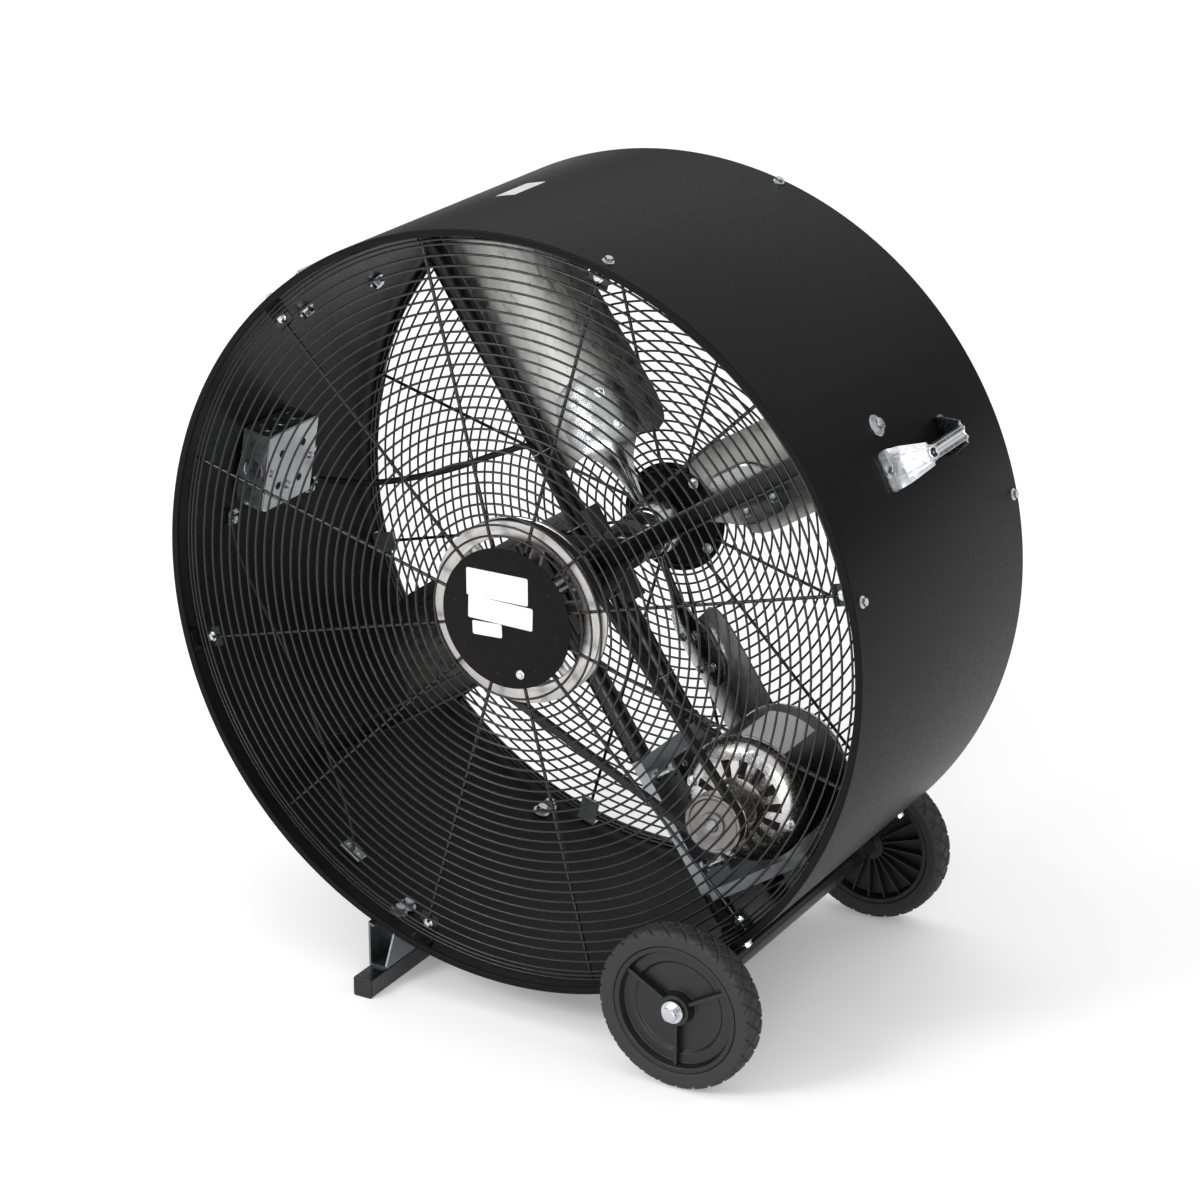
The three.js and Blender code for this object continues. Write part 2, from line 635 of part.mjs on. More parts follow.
function makeSheave() {
  const rimBore = SHEAVE_RADIUS - BELT_SINK - BELT_THICKNESS - GROOVE_FLOOR - SHEAVE_RIM;
  const rim = revolve(grooveOutline(SHEAVE_RADIUS, rimBore), 28);
  const half = SHEAVE_WIDTH / 2;
  const added = [bar(SHEAVE_HUB_RADIUS, -half - 6, half + 6, 16)];
  for (let i = 0; i < SHEAVE_SPOKES; i += 1) {
    const degrees = SHEAVE_SPOKE_ANGLE + (i * 360) / SHEAVE_SPOKES;
    const spoke = block(
      -SHEAVE_SPOKE_WIDTH / 2, SHEAVE_SPOKE_WIDTH / 2,
      -SHEAVE_SPOKE_THICKNESS / 2, SHEAVE_SPOKE_THICKNESS / 2,
      SHEAVE_HUB_RADIUS - 6, rimBore + SHEAVE_RIM / 2,
    );
    added.push(spoke.rotateY(degrees * RAD));
  }
  const bore = bar(SHAFT_RADIUS + GAP, -2 * half, 2 * half, 16);
  const sheave = shape(rim, added, [bore]);
  piece(axis, 'fan_sheave', 'cast_aluminium', sheave.translate(0, BELT_Y, 0));
}

function makeMotorPulley() {
  const outline = grooveOutline(PULLEY_RADIUS, MOTOR_SHAFT_RADIUS + GAP);
  const pulley = revolve(outline, 20).translate(MOTOR_REACH, BELT_Y, -MOTOR_DROP);
  piece(frame, 'motor_pulley', 'cast_aluminium', pulley);
}

// The belt is a ring of trapezoid section whose points lie where the belt's outward
// direction meets the larger sheave, on the far arc, or the small pulley, on the near arc.
function makeBelt() {
  const distance = Math.hypot(MOTOR_REACH, MOTOR_DROP);
  const heading = Math.atan2(MOTOR_REACH, -MOTOR_DROP);
  const wrap = Math.acos((SHEAVE_RADIUS - PULLEY_RADIUS) / distance);
  const farSteps = 16;
  const nearSteps = 10;
  const stations = [];
  for (let i = 0; i <= farSteps; i += 1) {
    const turn = wrap + ((2 * Math.PI - 2 * wrap) * i) / farSteps;
    stations.push({ angle: heading + turn, radius: SHEAVE_RADIUS, x: 0, z: 0 });
  }
  for (let i = 0; i <= nearSteps; i += 1) {
    const turn = -wrap + (2 * wrap * i) / nearSteps;
    stations.push({
      angle: heading + turn, radius: PULLEY_RADIUS, x: MOTOR_REACH, z: -MOTOR_DROP,
    });
  }
  const narrow = BELT_WIDTH / 2 - BELT_THICKNESS * Math.tan(GROOVE_SLOPE * RAD);
  const section = [
    new THREE.Vector2(0, -BELT_WIDTH / 2),
    new THREE.Vector2(0, BELT_WIDTH / 2),
    new THREE.Vector2(-BELT_THICKNESS, narrow),
    new THREE.Vector2(-BELT_THICKNESS, -narrow),
    new THREE.Vector2(0, -BELT_WIDTH / 2),
  ];
  const ring = new THREE.LatheGeometry(section, stations.length);
  const points = ring.getAttribute('position');
  for (let i = 0; i <= stations.length; i += 1) {
    const at = stations[i % stations.length];
    section.forEach((corner, j) => {
      const radius = at.radius - BELT_SINK + corner.x;
      points.setXYZ(
        i * section.length + j,
        at.x + radius * Math.sin(at.angle),
        BELT_Y + corner.y,
        at.z + radius * Math.cos(at.angle),
      );
    });
  }
  piece(frame, 'drive_belt', 'belt_rubber', closed(ring));
}

// ---------------------------------------------------------------- motor

function ventCuts(faceY, inwards) {
  const cuts = [];
  for (let i = 0; i < VENT_COUNT; i += 1) {
    const y0 = Math.min(faceY - inwards, faceY + inwards * VENT_DEPTH);
    const y1 = Math.max(faceY - inwards, faceY + inwards * VENT_DEPTH);
    const slot = block(-VENT_WIDTH / 2, VENT_WIDTH / 2, y0, y1, VENT_INNER, VENT_OUTER);
    cuts.push(slot.rotateY(((i + 0.5) * 360 * RAD) / VENT_COUNT));
  }
  return cuts;
}

// An end bell: nose boss, sloping face, shoulder and the lip that meets the shell.
// nose is the thickness of metal that closes the shaft's bore at the nose, if any.
function endBell(length, nose) {
  const bore = MOTOR_SHAFT_RADIUS + GAP;
  const bottom = nose > 0 ? [[0, nose], [0, 0]] : [[bore, 0]];
  const outline = [
    ...bottom,
    [BELL_NOSE_RADIUS, 0],
    [BELL_NOSE_RADIUS + BELL_NOSE_DRAFT, BELL_NOSE_STAND],
    [MOTOR_RADIUS - BELL_SHOULDER, BELL_FACE_STAND],
    [MOTOR_RADIUS - BELL_LIP, BELL_FACE_STAND + BELL_SHOULDER * 0.6],
    [MOTOR_RADIUS, length - BELL_BAND],
    [MOTOR_RADIUS, length],
    [bore, length],
  ];
  if (nose > 0) outline.push([bore, nose]);
  return revolve(outline, MOTOR_SIDES);
}

function makeMotor() {
  const front = shape(endBell(FRONT_BELL_LENGTH, 0), [], ventCuts(BELL_FACE_STAND - 1, 1));
  front.translate(MOTOR_REACH, MOTOR_FRONT_Y, -MOTOR_DROP);
  piece(frame, 'motor_front_bell', 'cast_aluminium', front);

  const shell = shape(
    bar(MOTOR_RADIUS - BELL_LIP / 2, SHELL_FRONT_Y, SHELL_REAR_Y, MOTOR_SIDES),
    [],
    [bar(MOTOR_SHAFT_RADIUS + SHELL_PLAY, SHELL_FRONT_Y - 1, SHELL_REAR_Y + 1, 12)],
  );
  piece(frame, 'motor_shell', 'frame_black', shell.translate(MOTOR_REACH, 0, -MOTOR_DROP));

  const rear = endBell(REAR_BELL_LENGTH, REAR_NOSE).rotateX(Math.PI);
  rear.translate(MOTOR_REACH, MOTOR_FRONT_Y + MOTOR_LENGTH, -MOTOR_DROP);
  piece(frame, 'motor_rear_bell', 'cast_aluminium', rear);

  const shaftFront = BELT_Y - SHEAVE_WIDTH / 2 - 3;
  const shaftRear = SHELL_REAR_Y + (REAR_BELL_LENGTH - REAR_NOSE) / 2;
  const shaft = bar(MOTOR_SHAFT_RADIUS, shaftFront, shaftRear, 12);
  piece(frame, 'motor_shaft', 'steel', closed(shaft.translate(MOTOR_REACH, 0, -MOTOR_DROP)));
}

// The motor's foot: a flat plate and a saddle that rises to the shell.
function makeMotorBase() {
  const halfLong = BASE_LENGTH / 2;
  const halfWide = BASE_WIDTH / 2;
  const plate = block(
    BASE_X, BASE_X + BASE_SHEET,
    BASE_Y - halfWide, BASE_Y + halfWide,
    -MOTOR_DROP - halfLong, -MOTOR_DROP + halfLong,
  );
  const saddle = block(
    BASE_X + BASE_SHEET / 2, MOTOR_REACH - MOTOR_RADIUS * 0.75,
    BASE_Y - halfWide + 12, SHELL_REAR_Y - 6,
    -MOTOR_DROP - MOTOR_RADIUS * 0.55, -MOTOR_DROP + MOTOR_RADIUS * 0.55,
  );
  const shellRoom = bar(
    MOTOR_RADIUS + GAP, INTAKE_Y, OUTLET_Y, MOTOR_SIDES, MOTOR_REACH, -MOTOR_DROP,
  );
  const holes = studPlaces().map(([y, z]) => {
    const drill = bar(STUD_RADIUS + STUD_PLAY, -2 * BASE_SHEET, 2 * BASE_SHEET, 12);
    return drill.rotateZ(Math.PI / 2).translate(BASE_X, y, z);
  });
  piece(frame, 'motor_base', 'frame_black', shape(plate, [saddle], [shellRoom, ...holes]));
}

function studPlaces() {
  const places = [];
  for (const side of [-1, 1]) {
    for (const end of [1, -1]) {
      places.push([
        BASE_Y + (side * STUD_SPACING_WIDE) / 2,
        -MOTOR_DROP + (end * STUD_SPACING_LONG) / 2,
      ]);
    }
  }
  return places;
}

// A threaded stud that stands on the tray, with a nut each side of the motor's foot.
function makeStuds() {
  const floor = TRAY_X + TRAY_SHEET + GAP;
  const foot = BASE_X;
  const above = BASE_X + BASE_SHEET;
  const outline = [
    [0, floor],
    [NUT_RADIUS, floor],
    [NUT_RADIUS, floor + NUT_HEIGHT],
    [STUD_RADIUS, floor + NUT_HEIGHT],
    [STUD_RADIUS, foot - NUT_HEIGHT - GAP],
    [NUT_RADIUS, foot - NUT_HEIGHT - GAP],
    [NUT_RADIUS, foot - GAP],
    [STUD_RADIUS, foot - GAP],
    [STUD_RADIUS, above + GAP],
    [NUT_RADIUS, above + GAP],
    [NUT_RADIUS, above + GAP + NUT_HEIGHT],
    [STUD_RADIUS, above + GAP + NUT_HEIGHT],
    [STUD_RADIUS, above + STUD_STAND],
    [0, above + STUD_STAND],
  ];
  studPlaces().forEach(([y, z], index) => {
    const stud = revolve(outline, 6).rotateZ(-Math.PI / 2).translate(0, y, z);
    piece(frame, `tension_stud_${index + 1}`, 'zinc', stud);
  });
}

// A folded tray: floor on the tubes, lower end wall, and narrow flanges on the intake side.
function makeTray() {
  const y0 = INTAKE_Y + TRAY_FRONT_DEPTH;
  const y1 = y0 + TRAY_WIDTH;
  const zTop = -TRAY_TOP_DROP;
  const zBottom = zTop - TRAY_LENGTH;
  const x0 = TRAY_X;
  const x1 = x0 + TRAY_SHEET;
  const floor = block(x0, x1, y0, y1, zBottom, zTop);
  const wall = block(x0, x0 + TRAY_WALL, y0, y1, zBottom, zBottom + TRAY_SHEET);
  const sideFlange = block(x0 - TRAY_FLANGE, x1, y0, y0 + TRAY_SHEET, zBottom, zTop);
  const endFlange = block(
    x0, x0 + TRAY_WALL, y0, y0 + TRAY_SHEET, zBottom - TRAY_FLANGE, zBottom + TRAY_SHEET,
  );
  piece(frame, 'motor_tray', 'bracket_grey', shape(floor, [wall, sideFlange, endFlange]));
}

// ---------------------------------------------------------------- fan

// Blade surface: s runs 0..1 from root to tip, c runs -0.5..0.5 across the chord.
function bladePoint(s, c, lift) {
  const radius = BLADE_ROOT_RADIUS + s * (BLADE_TIP_RADIUS - BLADE_ROOT_RADIUS);
  const swell = Math.sin(0.5 * Math.PI * Math.min(1, s * 1.5));
  const chord = BLADE_ROOT_CHORD + swell * (BLADE_TIP_CHORD - BLADE_ROOT_CHORD);
  const pitch = (BLADE_ROOT_ANGLE + s * (BLADE_TIP_ANGLE - BLADE_ROOT_ANGLE)) * RAD;
  const bow = BLADE_CAMBER * chord * (1 - 4 * c * c) + lift;
  const across = c * chord * Math.cos(pitch) + bow * Math.sin(pitch);
  const depth = c * chord * Math.sin(pitch) - bow * Math.cos(pitch);
  const turn = across / radius + s * BLADE_SWEEP_ANGLE * RAD;
  return [radius * Math.sin(turn), depth, radius * Math.cos(turn)];
}

function bladeGeometry() {
  const sheet = new THREE.BoxGeometry(1, BLADE_SHEET, 1, 6, 1, 7);
  const points = sheet.getAttribute('position');
  for (let i = 0; i < points.count; i += 1) {
    const place = bladePoint(points.getZ(i) + 0.5, points.getX(i), points.getY(i));
    points.setXYZ(i, ...place);
  }
  return closed(sheet);
}

// A pressed iron that follows the blade's root on its intake side and runs into the hub.
function ironGeometry() {
  const strap = new THREE.BoxGeometry(1, IRON_SHEET, 1, 2, 1, 5);
  const points = strap.getAttribute('position');
  const start = HUB_RADIUS - 10;
  for (let i = 0; i < points.count; i += 1) {
    const along = points.getZ(i) + 0.5;
    const radius = start + along * (IRON_REACH - start);
    const s = (radius - BLADE_ROOT_RADIUS) / (BLADE_TIP_RADIUS - BLADE_ROOT_RADIUS);
    const chord = BLADE_ROOT_CHORD;
    const lift = (BLADE_SHEET + IRON_SHEET) / 2 + IRON_PLAY - points.getY(i);
    const width = (IRON_WIDTH * (0.7 + 0.6 * along)) / chord;
    const clamp = Math.max(s, 0);
    const [x, y, z] = bladePoint(clamp, points.getX(i) * width, lift);
    const scale = radius / Math.hypot(x, z);
    points.setXYZ(i, x * scale, y * Math.min(1, scale), z * scale);
  }
  return closed(strap);
}

function makeFan() {
  const half = HUB_LENGTH / 2;
  const irons = [];
  for (let i = 0; i < BLADE_COUNT; i += 1) {
    const turn = (FAN_ANGLE + (i * 360) / BLADE_COUNT) * RAD;
    const blade = bladeGeometry().rotateY(turn).translate(0, FAN_Y, 0);
    piece(axis, `blade_${i + 1}`, 'blade_aluminium', blade);
    irons.push(ironGeometry().rotateY(turn));
  }
  const bore = bar(SHAFT_RADIUS + GAP, -HUB_LENGTH, HUB_LENGTH, 16);
  const hub = shape(bar(HUB_RADIUS, -half, half, 20), irons, [bore]);
  piece(axis, 'blade_hub', 'blade_aluminium', hub.translate(0, FAN_Y, 0));
  const shaft = bar(SHAFT_RADIUS, INTAKE_Y + SHAFT_FRONT_DEPTH, INTAKE_Y + SHAFT_REAR_DEPTH, 16);
  piece(axis, 'fan_shaft', 'steel', closed(shaft));
}

// ---------------------------------------------------------------- electrical box and cable

function makeElectricalBox() {
  const wall = wallGroup(BOX_ANGLE);
  const y = INTAKE_Y + BOX_DEPTH;
  const half = BOX_SIDE / 2;
  const seat = Math.sqrt((DRUM_INNER_FLAT - GAP) ** 2 - half * half);
  const top = seat - BOX_HEIGHT;
  const box = block(-half, half, y - half, y + half, top, seat);
  piece(wall, 'electrical_box', 'galvanised', closed(box));
  const cover = block(-half, half, y - half, y + half, top - GAP - BOX_COVER, top - GAP);
  piece(wall, 'box_cover', 'galvanised', closed(cover));
}

// The cable runs from the box to a clamp on the wall, across to the rear tube, down along
// the tube and over the tray's edge into the motor. Its points are in the tubes' group.
function makeMotorCable() {
  const onWall = (radius, degrees, y) => {
    const [x, z] = polar(radius, degrees + FRAME_LEAN);
    return [x, y, z];
  };
  const boxEnd = INTAKE_Y + BOX_DEPTH + BOX_SIDE / 2 + GAP;
  const boxRadius = DRUM_INNER_FLAT - BOX_HEIGHT * 0.65;
  const clampRadius = DRUM_INNER_FLAT - CLAMP_STAND;
  const clampY = INTAKE_Y + CLAMP_DEPTH;
  const clamp = onWall(clampRadius, CLAMP_ANGLE, clampY);
  const besideTube = REAR_TUBE_Y - TUBE_RADIUS - CABLE_RADIUS - GAP;
  const tie = [TUBE_OFFSET, besideTube, UPPER_TIE];
  // a point on the free run from the clamp to the tie, lifted off the straight line
  const onRun = (share, lift) => [
    clamp[0] + share * (tie[0] - clamp[0]),
    clamp[1] + share * (tie[1] - clamp[1]) + CABLE_BELLY * (1 - share),
    clamp[2] + share * (tie[2] - clamp[2]) + lift * CABLE_BELLY,
  ];
  const trayTop = -TRAY_TOP_DROP;
  const overTray = trayTop + CABLE_LIFT;
  const entryY = MOTOR_FRONT_Y + MOTOR_LENGTH * 0.71;
  const entry = (distance) => [
    MOTOR_REACH - 0.6 * distance, entryY, -MOTOR_DROP + 0.8 * distance,
  ];
  const onShell = MOTOR_RADIUS - BELL_LIP / 2 + GAP;
  const points = [
    onWall(boxRadius, BOX_ANGLE, boxEnd),
    onWall(boxRadius, BOX_ANGLE, boxEnd + CABLE_LIFT),
    onWall(clampRadius, CLAMP_ANGLE, clampY - 2 * CABLE_LIFT),
    clamp,
    onRun(0.23, -1.5),
    onRun(0.56, -1),
    onRun(0.87, 0.7),
    [TUBE_OFFSET - CABLE_RADIUS, besideTube, UPPER_TIE + CABLE_LIFT * 0.8],
    tie,
    [TUBE_OFFSET, besideTube, UPPER_TIE - CABLE_LIFT],
    [TUBE_OFFSET, besideTube, trayTop + 4 * CABLE_LIFT],
    [TUBE_OFFSET, besideTube, trayTop + 3 * CABLE_LIFT],
    [TUBE_OFFSET + CABLE_RADIUS, besideTube - CABLE_RADIUS, trayTop + 2 * CABLE_LIFT],
    [TRAY_X, besideTube - CABLE_LIFT, overTray],
    [BASE_X / 2, (besideTube + entryY) / 2, overTray],
    [BASE_X + CABLE_LIFT, entryY + CABLE_RADIUS, trayTop + CABLE_RADIUS],
    entry(onShell + CABLE_LIFT),
    entry(onShell),
  ];
  piece(frame, 'motor_cable', 'cable_rubber', cord(points, CABLE_RADIUS, 8, 48));
}

// ---------------------------------------------------------------- handles

// A pressed pull handle: wide feet on the drum, flared legs and a channel grip.
function makeHandle(name, degrees) {
  const group = wallGroup(degrees);
  const y = INTAKE_Y + HANDLE_DEPTH;
  const halfFoot = HANDLE_FOOT_WIDTH / 2;
  const footZ = DRUM_RADIUS + GAP;
  const gripZ = DRUM_RADIUS + HANDLE_STAND;
  const halfGrip = GRIP_WIDTH / 2;
  const legEnd = y + GRIP_LENGTH / 2;
  const footStart = y + HANDLE_LENGTH / 2 - HANDLE_FOOT;
  const footEnd = y + HANDLE_LENGTH / 2;
  const added = [];
  for (const side of [1, -1]) {
    const leg = new THREE.BoxGeometry(1, 1, HANDLE_SHEET, 1, 1, 1);
    const points = leg.getAttribute('position');
    for (let i = 0; i < points.count; i += 1) {
      const top = points.getY(i) < 0;
      const width = top ? halfGrip : halfFoot;
      const outer = points.getZ(i) > 0 ? HANDLE_SHEET : 0;
      const along = top ? legEnd - HANDLE_SHEET : footStart + HANDLE_SHEET;
      const height = top ? gripZ - HANDLE_SHEET : footZ;
      points.setXYZ(i, Math.sign(points.getX(i)) * width, along + outer * 0.6, height + outer);
    }
    const foot = block(-halfFoot, halfFoot, footStart, footEnd, footZ, footZ + HANDLE_SHEET);
    for (const item of [leg, foot]) {
      if (side < 0) item.scale(1, -1, 1).translate(0, 2 * y, 0);
      added.push(item);
    }
  }
  const grip = block(-halfGrip, halfGrip, y - GRIP_LENGTH / 2, legEnd, gripZ - HANDLE_SHEET, gripZ);
  for (const side of [-1, 1]) {
    const x = side * (halfGrip - HANDLE_SHEET / 2);
    added.push(block(
      x - HANDLE_SHEET / 2, x + HANDLE_SHEET / 2,
      y - GRIP_LENGTH / 2, legEnd, gripZ - GRIP_FLANGE, gripZ,
    ));
  }
  piece(group, name, 'galvanised', shape(grip, added));
}

// ---------------------------------------------------------------- foot

function makeFoot() {
  const half = FOOT_TUBE / 2;
  const end = OUTLET_Y + FOOT_OVERHANG;
  const inner = half - FOOT_WALL;
  const tube = shape(
    block(FOOT_X - half, FOOT_X + half, -end, end, 0, FOOT_TUBE),
    [],
    [block(FOOT_X - inner, FOOT_X + inner, -2 * end, 2 * end, FOOT_WALL, FOOT_TUBE - FOOT_WALL)],
  );
  piece(fan, 'foot_tube', 'frame_black', tube);
  const plug = inner - GAP;
  for (const [name, side] of [['front', -1], ['rear', 1]]) {
    const face = block(FOOT_X - half, FOOT_X + half, end + GAP, end + CAP_SHEET, 0, FOOT_TUBE);
    const stem = block(
      FOOT_X - plug, FOOT_X + plug, end - CAP_PLUG, end + CAP_SHEET / 2,
      half - plug, half + plug,
    );
    const cap = shape(face, [stem]);
    if (side < 0) cap.rotateZ(Math.PI).translate(2 * FOOT_X, 0, 0);
    piece(fan, `foot_cap_${name}`, 'wheel_plastic', cap);
    makeFootBracket(`foot_bracket_${name}`, side);
  }
}

// A folded bracket: base on the tube, two webs up to the drum, turned in under its wall.
// The right web's end leans back from the base to the drum.
function makeFootBracket(name, side) {
  const half = FOOT_TUBE / 2;
  const base = FOOT_TUBE + GAP;
  const left = FOOT_X - half;
  const right = FOOT_X + half;
  const under = (x, lower = 0) => (
    AXIS_HEIGHT - Math.sqrt((DRUM_RADIUS + GAP + lower) ** 2 - x * x)
  );
  const outline = [
    [left, base],
    [right, base],
    [right, under(right)],
    [right - BRACKET_TAB, under(right - BRACKET_TAB)],
    [right - BRACKET_TAB, under(right - BRACKET_TAB, BRACKET_SHEET)],
    [right - BRACKET_SHEET, under(right - BRACKET_SHEET, BRACKET_SHEET)],
    [right - BRACKET_SHEET, base + BRACKET_SHEET],
    [left + BRACKET_SHEET, base + BRACKET_SHEET],
    [left + BRACKET_SHEET, under(left + BRACKET_SHEET, BRACKET_SHEET)],
    [left + BRACKET_TAB, under(left + BRACKET_TAB, BRACKET_SHEET)],
    [left + BRACKET_TAB, under(left + BRACKET_TAB)],
    [left, under(left)],
  ];
  const end = OUTLET_Y + BRACKET_LEAD;
  const folded = prism(outline, end - BRACKET_WIDTH, end);
  const top = under(left) + 1;
  const slant = prism([
    [end, base + BRACKET_SHEET],
    [end - BRACKET_SLANT, top],
    [end + 1, top],
    [end + 1, base + BRACKET_SHEET],
  ], -right - 1, -FOOT_X).rotateZ(Math.PI / 2);
  const bracket = shape(folded, [], [slant]);
  if (side < 0) bracket.scale(1, -1, 1);
  piece(fan, name, 'bracket_grey', closed(bracket));
}

// ---------------------------------------------------------------- wheels

function makeAxle() {
  const wheelOut = OUTLET_Y + WHEEL_GAP + WHEEL_WIDTH;
  const end = wheelOut + GAP + WASHER_SHEET + AXLE_NUT_HEIGHT;
  const collar = OUTLET_Y + WHEEL_GAP - GAP;
  const half = [
    [AXLE_RADIUS, collar - 3],
    [AXLE_RADIUS + 6, collar - 3],
    [AXLE_RADIUS + 6, collar],
    [AXLE_RADIUS, collar],
    [AXLE_RADIUS, wheelOut + GAP],
    [WASHER_RADIUS, wheelOut + GAP],
    [WASHER_RADIUS, wheelOut + GAP + WASHER_SHEET],
    [AXLE_RADIUS + 3, wheelOut + GAP + WASHER_SHEET],
    [AXLE_RADIUS + 3, end],
    [0, end],
  ];
  const mirrored = half.map(([radius, y]) => [radius, -y]).reverse();
  const axle = revolve([...mirrored, ...half], 10);
  piece(fan, 'axle', 'zinc', axle.translate(WHEEL_X, 0, WHEEL_RADIUS));

  const tubeEndY = OUTLET_Y;
  const tube = shape(
    bar(AXLE_TUBE_RADIUS, -tubeEndY, tubeEndY, 16),
    [],
    [bar(AXLE_RADIUS + GAP, -2 * tubeEndY, 2 * tubeEndY, 12)],
  );
  piece(fan, 'axle_tube', 'frame_black', tube.translate(WHEEL_X, 0, WHEEL_RADIUS));
}

// A saddle between the drum and the axle tube, square to the line from the drum's axis.
function makeSaddle(name, y) {
  const reach = DRUM_RADIUS + AXLE_STAND;
  const degrees = Math.atan2(WHEEL_X, -AXLE_DROP) / RAD;
  const group = wallGroup(degrees);
  const half = SADDLE_WIDTH / 2;
  const body = block(-SADDLE_SPAN / 2, SADDLE_SPAN / 2, y - half, y + half, DRUM_RADIUS - 4, reach);
  const drumRoom = bar(DRUM_RADIUS + GAP, y - SADDLE_WIDTH, y + SADDLE_WIDTH, 6 * DRUM_SIDES);
  const tubeRoom = bar(AXLE_TUBE_RADIUS + GAP, y - SADDLE_WIDTH, y + SADDLE_WIDTH, 16, 0, reach);
  piece(group, name, 'frame_black', shape(body, [], [drumRoom, tubeRoom]));
}

function makeWheel(prefix, side) {
  const y0 = OUTLET_Y + WHEEL_GAP;
  const y1 = y0 + WHEEL_WIDTH;
  const mid = (y0 + y1) / 2;
  const rimOuter = WHEEL_RADIUS - TYRE_THICKNESS;
  const bead = rimOuter + GAP;
  const tyre = revolve([
    [WHEEL_RADIUS - 5, y0],
    [WHEEL_RADIUS, y0 + 6],
    [WHEEL_RADIUS, y1 - 6],
    [WHEEL_RADIUS - 5, y1],
    [bead, y1 - 2],
    [bead, y0 + 2],
  ], WHEEL_SIDES);

  const half = RIM_WEB / 2;
  const flat = rimOuter * Math.cos(Math.PI / WHEEL_SIDES);
  const rim = revolve([
    [AXLE_RADIUS + GAP, y0],
    [HUB_BOSS_RADIUS, y0],
    [HUB_BOSS_RADIUS, mid - half],
    [rimOuter - 6, mid - half],
    [rimOuter - 4, y0 + 3],
    [rimOuter, y0 + 3],
    [rimOuter, y1 - 3],
    [rimOuter - 4, y1 - 3],
    [rimOuter - 6, mid + half],
    [HUB_BOSS_RADIUS, mid + half],
    [HUB_BOSS_RADIUS, y1],
    [AXLE_RADIUS + GAP, y1],
  ], WHEEL_SIDES);
  const ribs = [];
  for (let i = 0; i < RIM_RIBS; i += 1) {
    const rib = block(-half, half, mid, y1 - 9, HUB_BOSS_RADIUS - 3, flat - 3);
    ribs.push(rib.rotateY((60 + (i * 360) / RIM_RIBS) * RAD));
  }
  const pieces = [
    [`${prefix}_tyre`, 'tyre_rubber', tyre],
    [`${prefix}_rim`, 'wheel_plastic', shape(rim, ribs)],
  ];
  for (const [name, finish, geometry] of pieces) {
    if (side < 0) geometry.rotateX(Math.PI);
    piece(fan, name, finish, geometry.translate(WHEEL_X, 0, WHEEL_RADIUS));
  }
}

makeDrum();
makeGrille('intake_grille', INTAKE_Y + GRILLE_DEPTH, 1);
makeGrille('outlet_grille', OUTLET_Y - GRILLE_DEPTH, -1);
makeCentrePlate();
makeInnerFrame();
makeBearings();
makeSheave();
makeMotorPulley();
makeBelt();
makeMotor();
makeMotorBase();
makeStuds();
makeTray();
makeFan();
makeElectricalBox();
makeMotorCable();
makeHandle('right_handle', RIGHT_HANDLE_ANGLE);
makeHandle('left_handle', LEFT_HANDLE_ANGLE);
makeFoot();
makeAxle();
makeSaddle('axle_saddle_front', -OUTLET_Y + SADDLE_WIDTH);
makeSaddle('axle_saddle_rear', OUTLET_Y - SADDLE_WIDTH);
makeWheel('front_wheel', -1);
makeWheel('rear_wheel', 1);

export default fan;
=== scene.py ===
# %% [markdown]
# # A belt-drive drum fan, dressed for the studio
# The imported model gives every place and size, and each cell below makes one piece or one
# finish of the real fan around it. All numbers are millimetres until a mesh is made. The
# Y axis runs along the drum, from the intake face at -222 to the outlet face at +222.

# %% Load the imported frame
import math

import bmesh
import bpy
import numpy as np
from mathutils import Matrix, Vector


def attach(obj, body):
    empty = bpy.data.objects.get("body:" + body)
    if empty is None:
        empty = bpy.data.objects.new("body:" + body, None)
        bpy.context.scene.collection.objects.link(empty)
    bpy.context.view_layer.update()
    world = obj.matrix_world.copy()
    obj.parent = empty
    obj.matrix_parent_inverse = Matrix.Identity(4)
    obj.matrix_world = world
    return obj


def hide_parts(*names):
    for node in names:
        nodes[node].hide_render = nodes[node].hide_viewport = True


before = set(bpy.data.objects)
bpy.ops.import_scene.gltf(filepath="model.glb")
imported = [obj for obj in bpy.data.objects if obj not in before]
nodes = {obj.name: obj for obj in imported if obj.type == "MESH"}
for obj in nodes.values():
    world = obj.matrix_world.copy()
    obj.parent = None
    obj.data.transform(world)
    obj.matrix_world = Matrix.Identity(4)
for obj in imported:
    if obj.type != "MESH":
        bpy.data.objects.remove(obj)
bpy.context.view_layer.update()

# %% Sizes that many pieces share
MM = 0.001
AXIS = np.array([0.0, 0.0, 510.0])
HALF_DEPTH = 222.0
DRUM = 465.0
LEAN = -33.0                     # the inner frame leans this far from upright
TUBE_X = -47.1                   # tubes' centre line, in the leaning frame
BELT_Y = -171.0
WHEEL = np.array([263.44, 0.0, 101.0])
FOOT_X = -175.4
GRILLE_SINK = 19.0               # the wires' faces lie this far inside the mouths
HANDLES = (("right_handle", 63.3), ("left_handle", -52))


def depth(distance):
    """Y of a place that lies a distance behind the intake face."""
    return distance - HALF_DEPTH


# %% [markdown]
# ## The camera
# The two rims of the drum and both wheels fix where the picture was taken from. The lens is
# long, about 104 mm on a 36 mm sensor, so the drum hardly narrows towards the back.

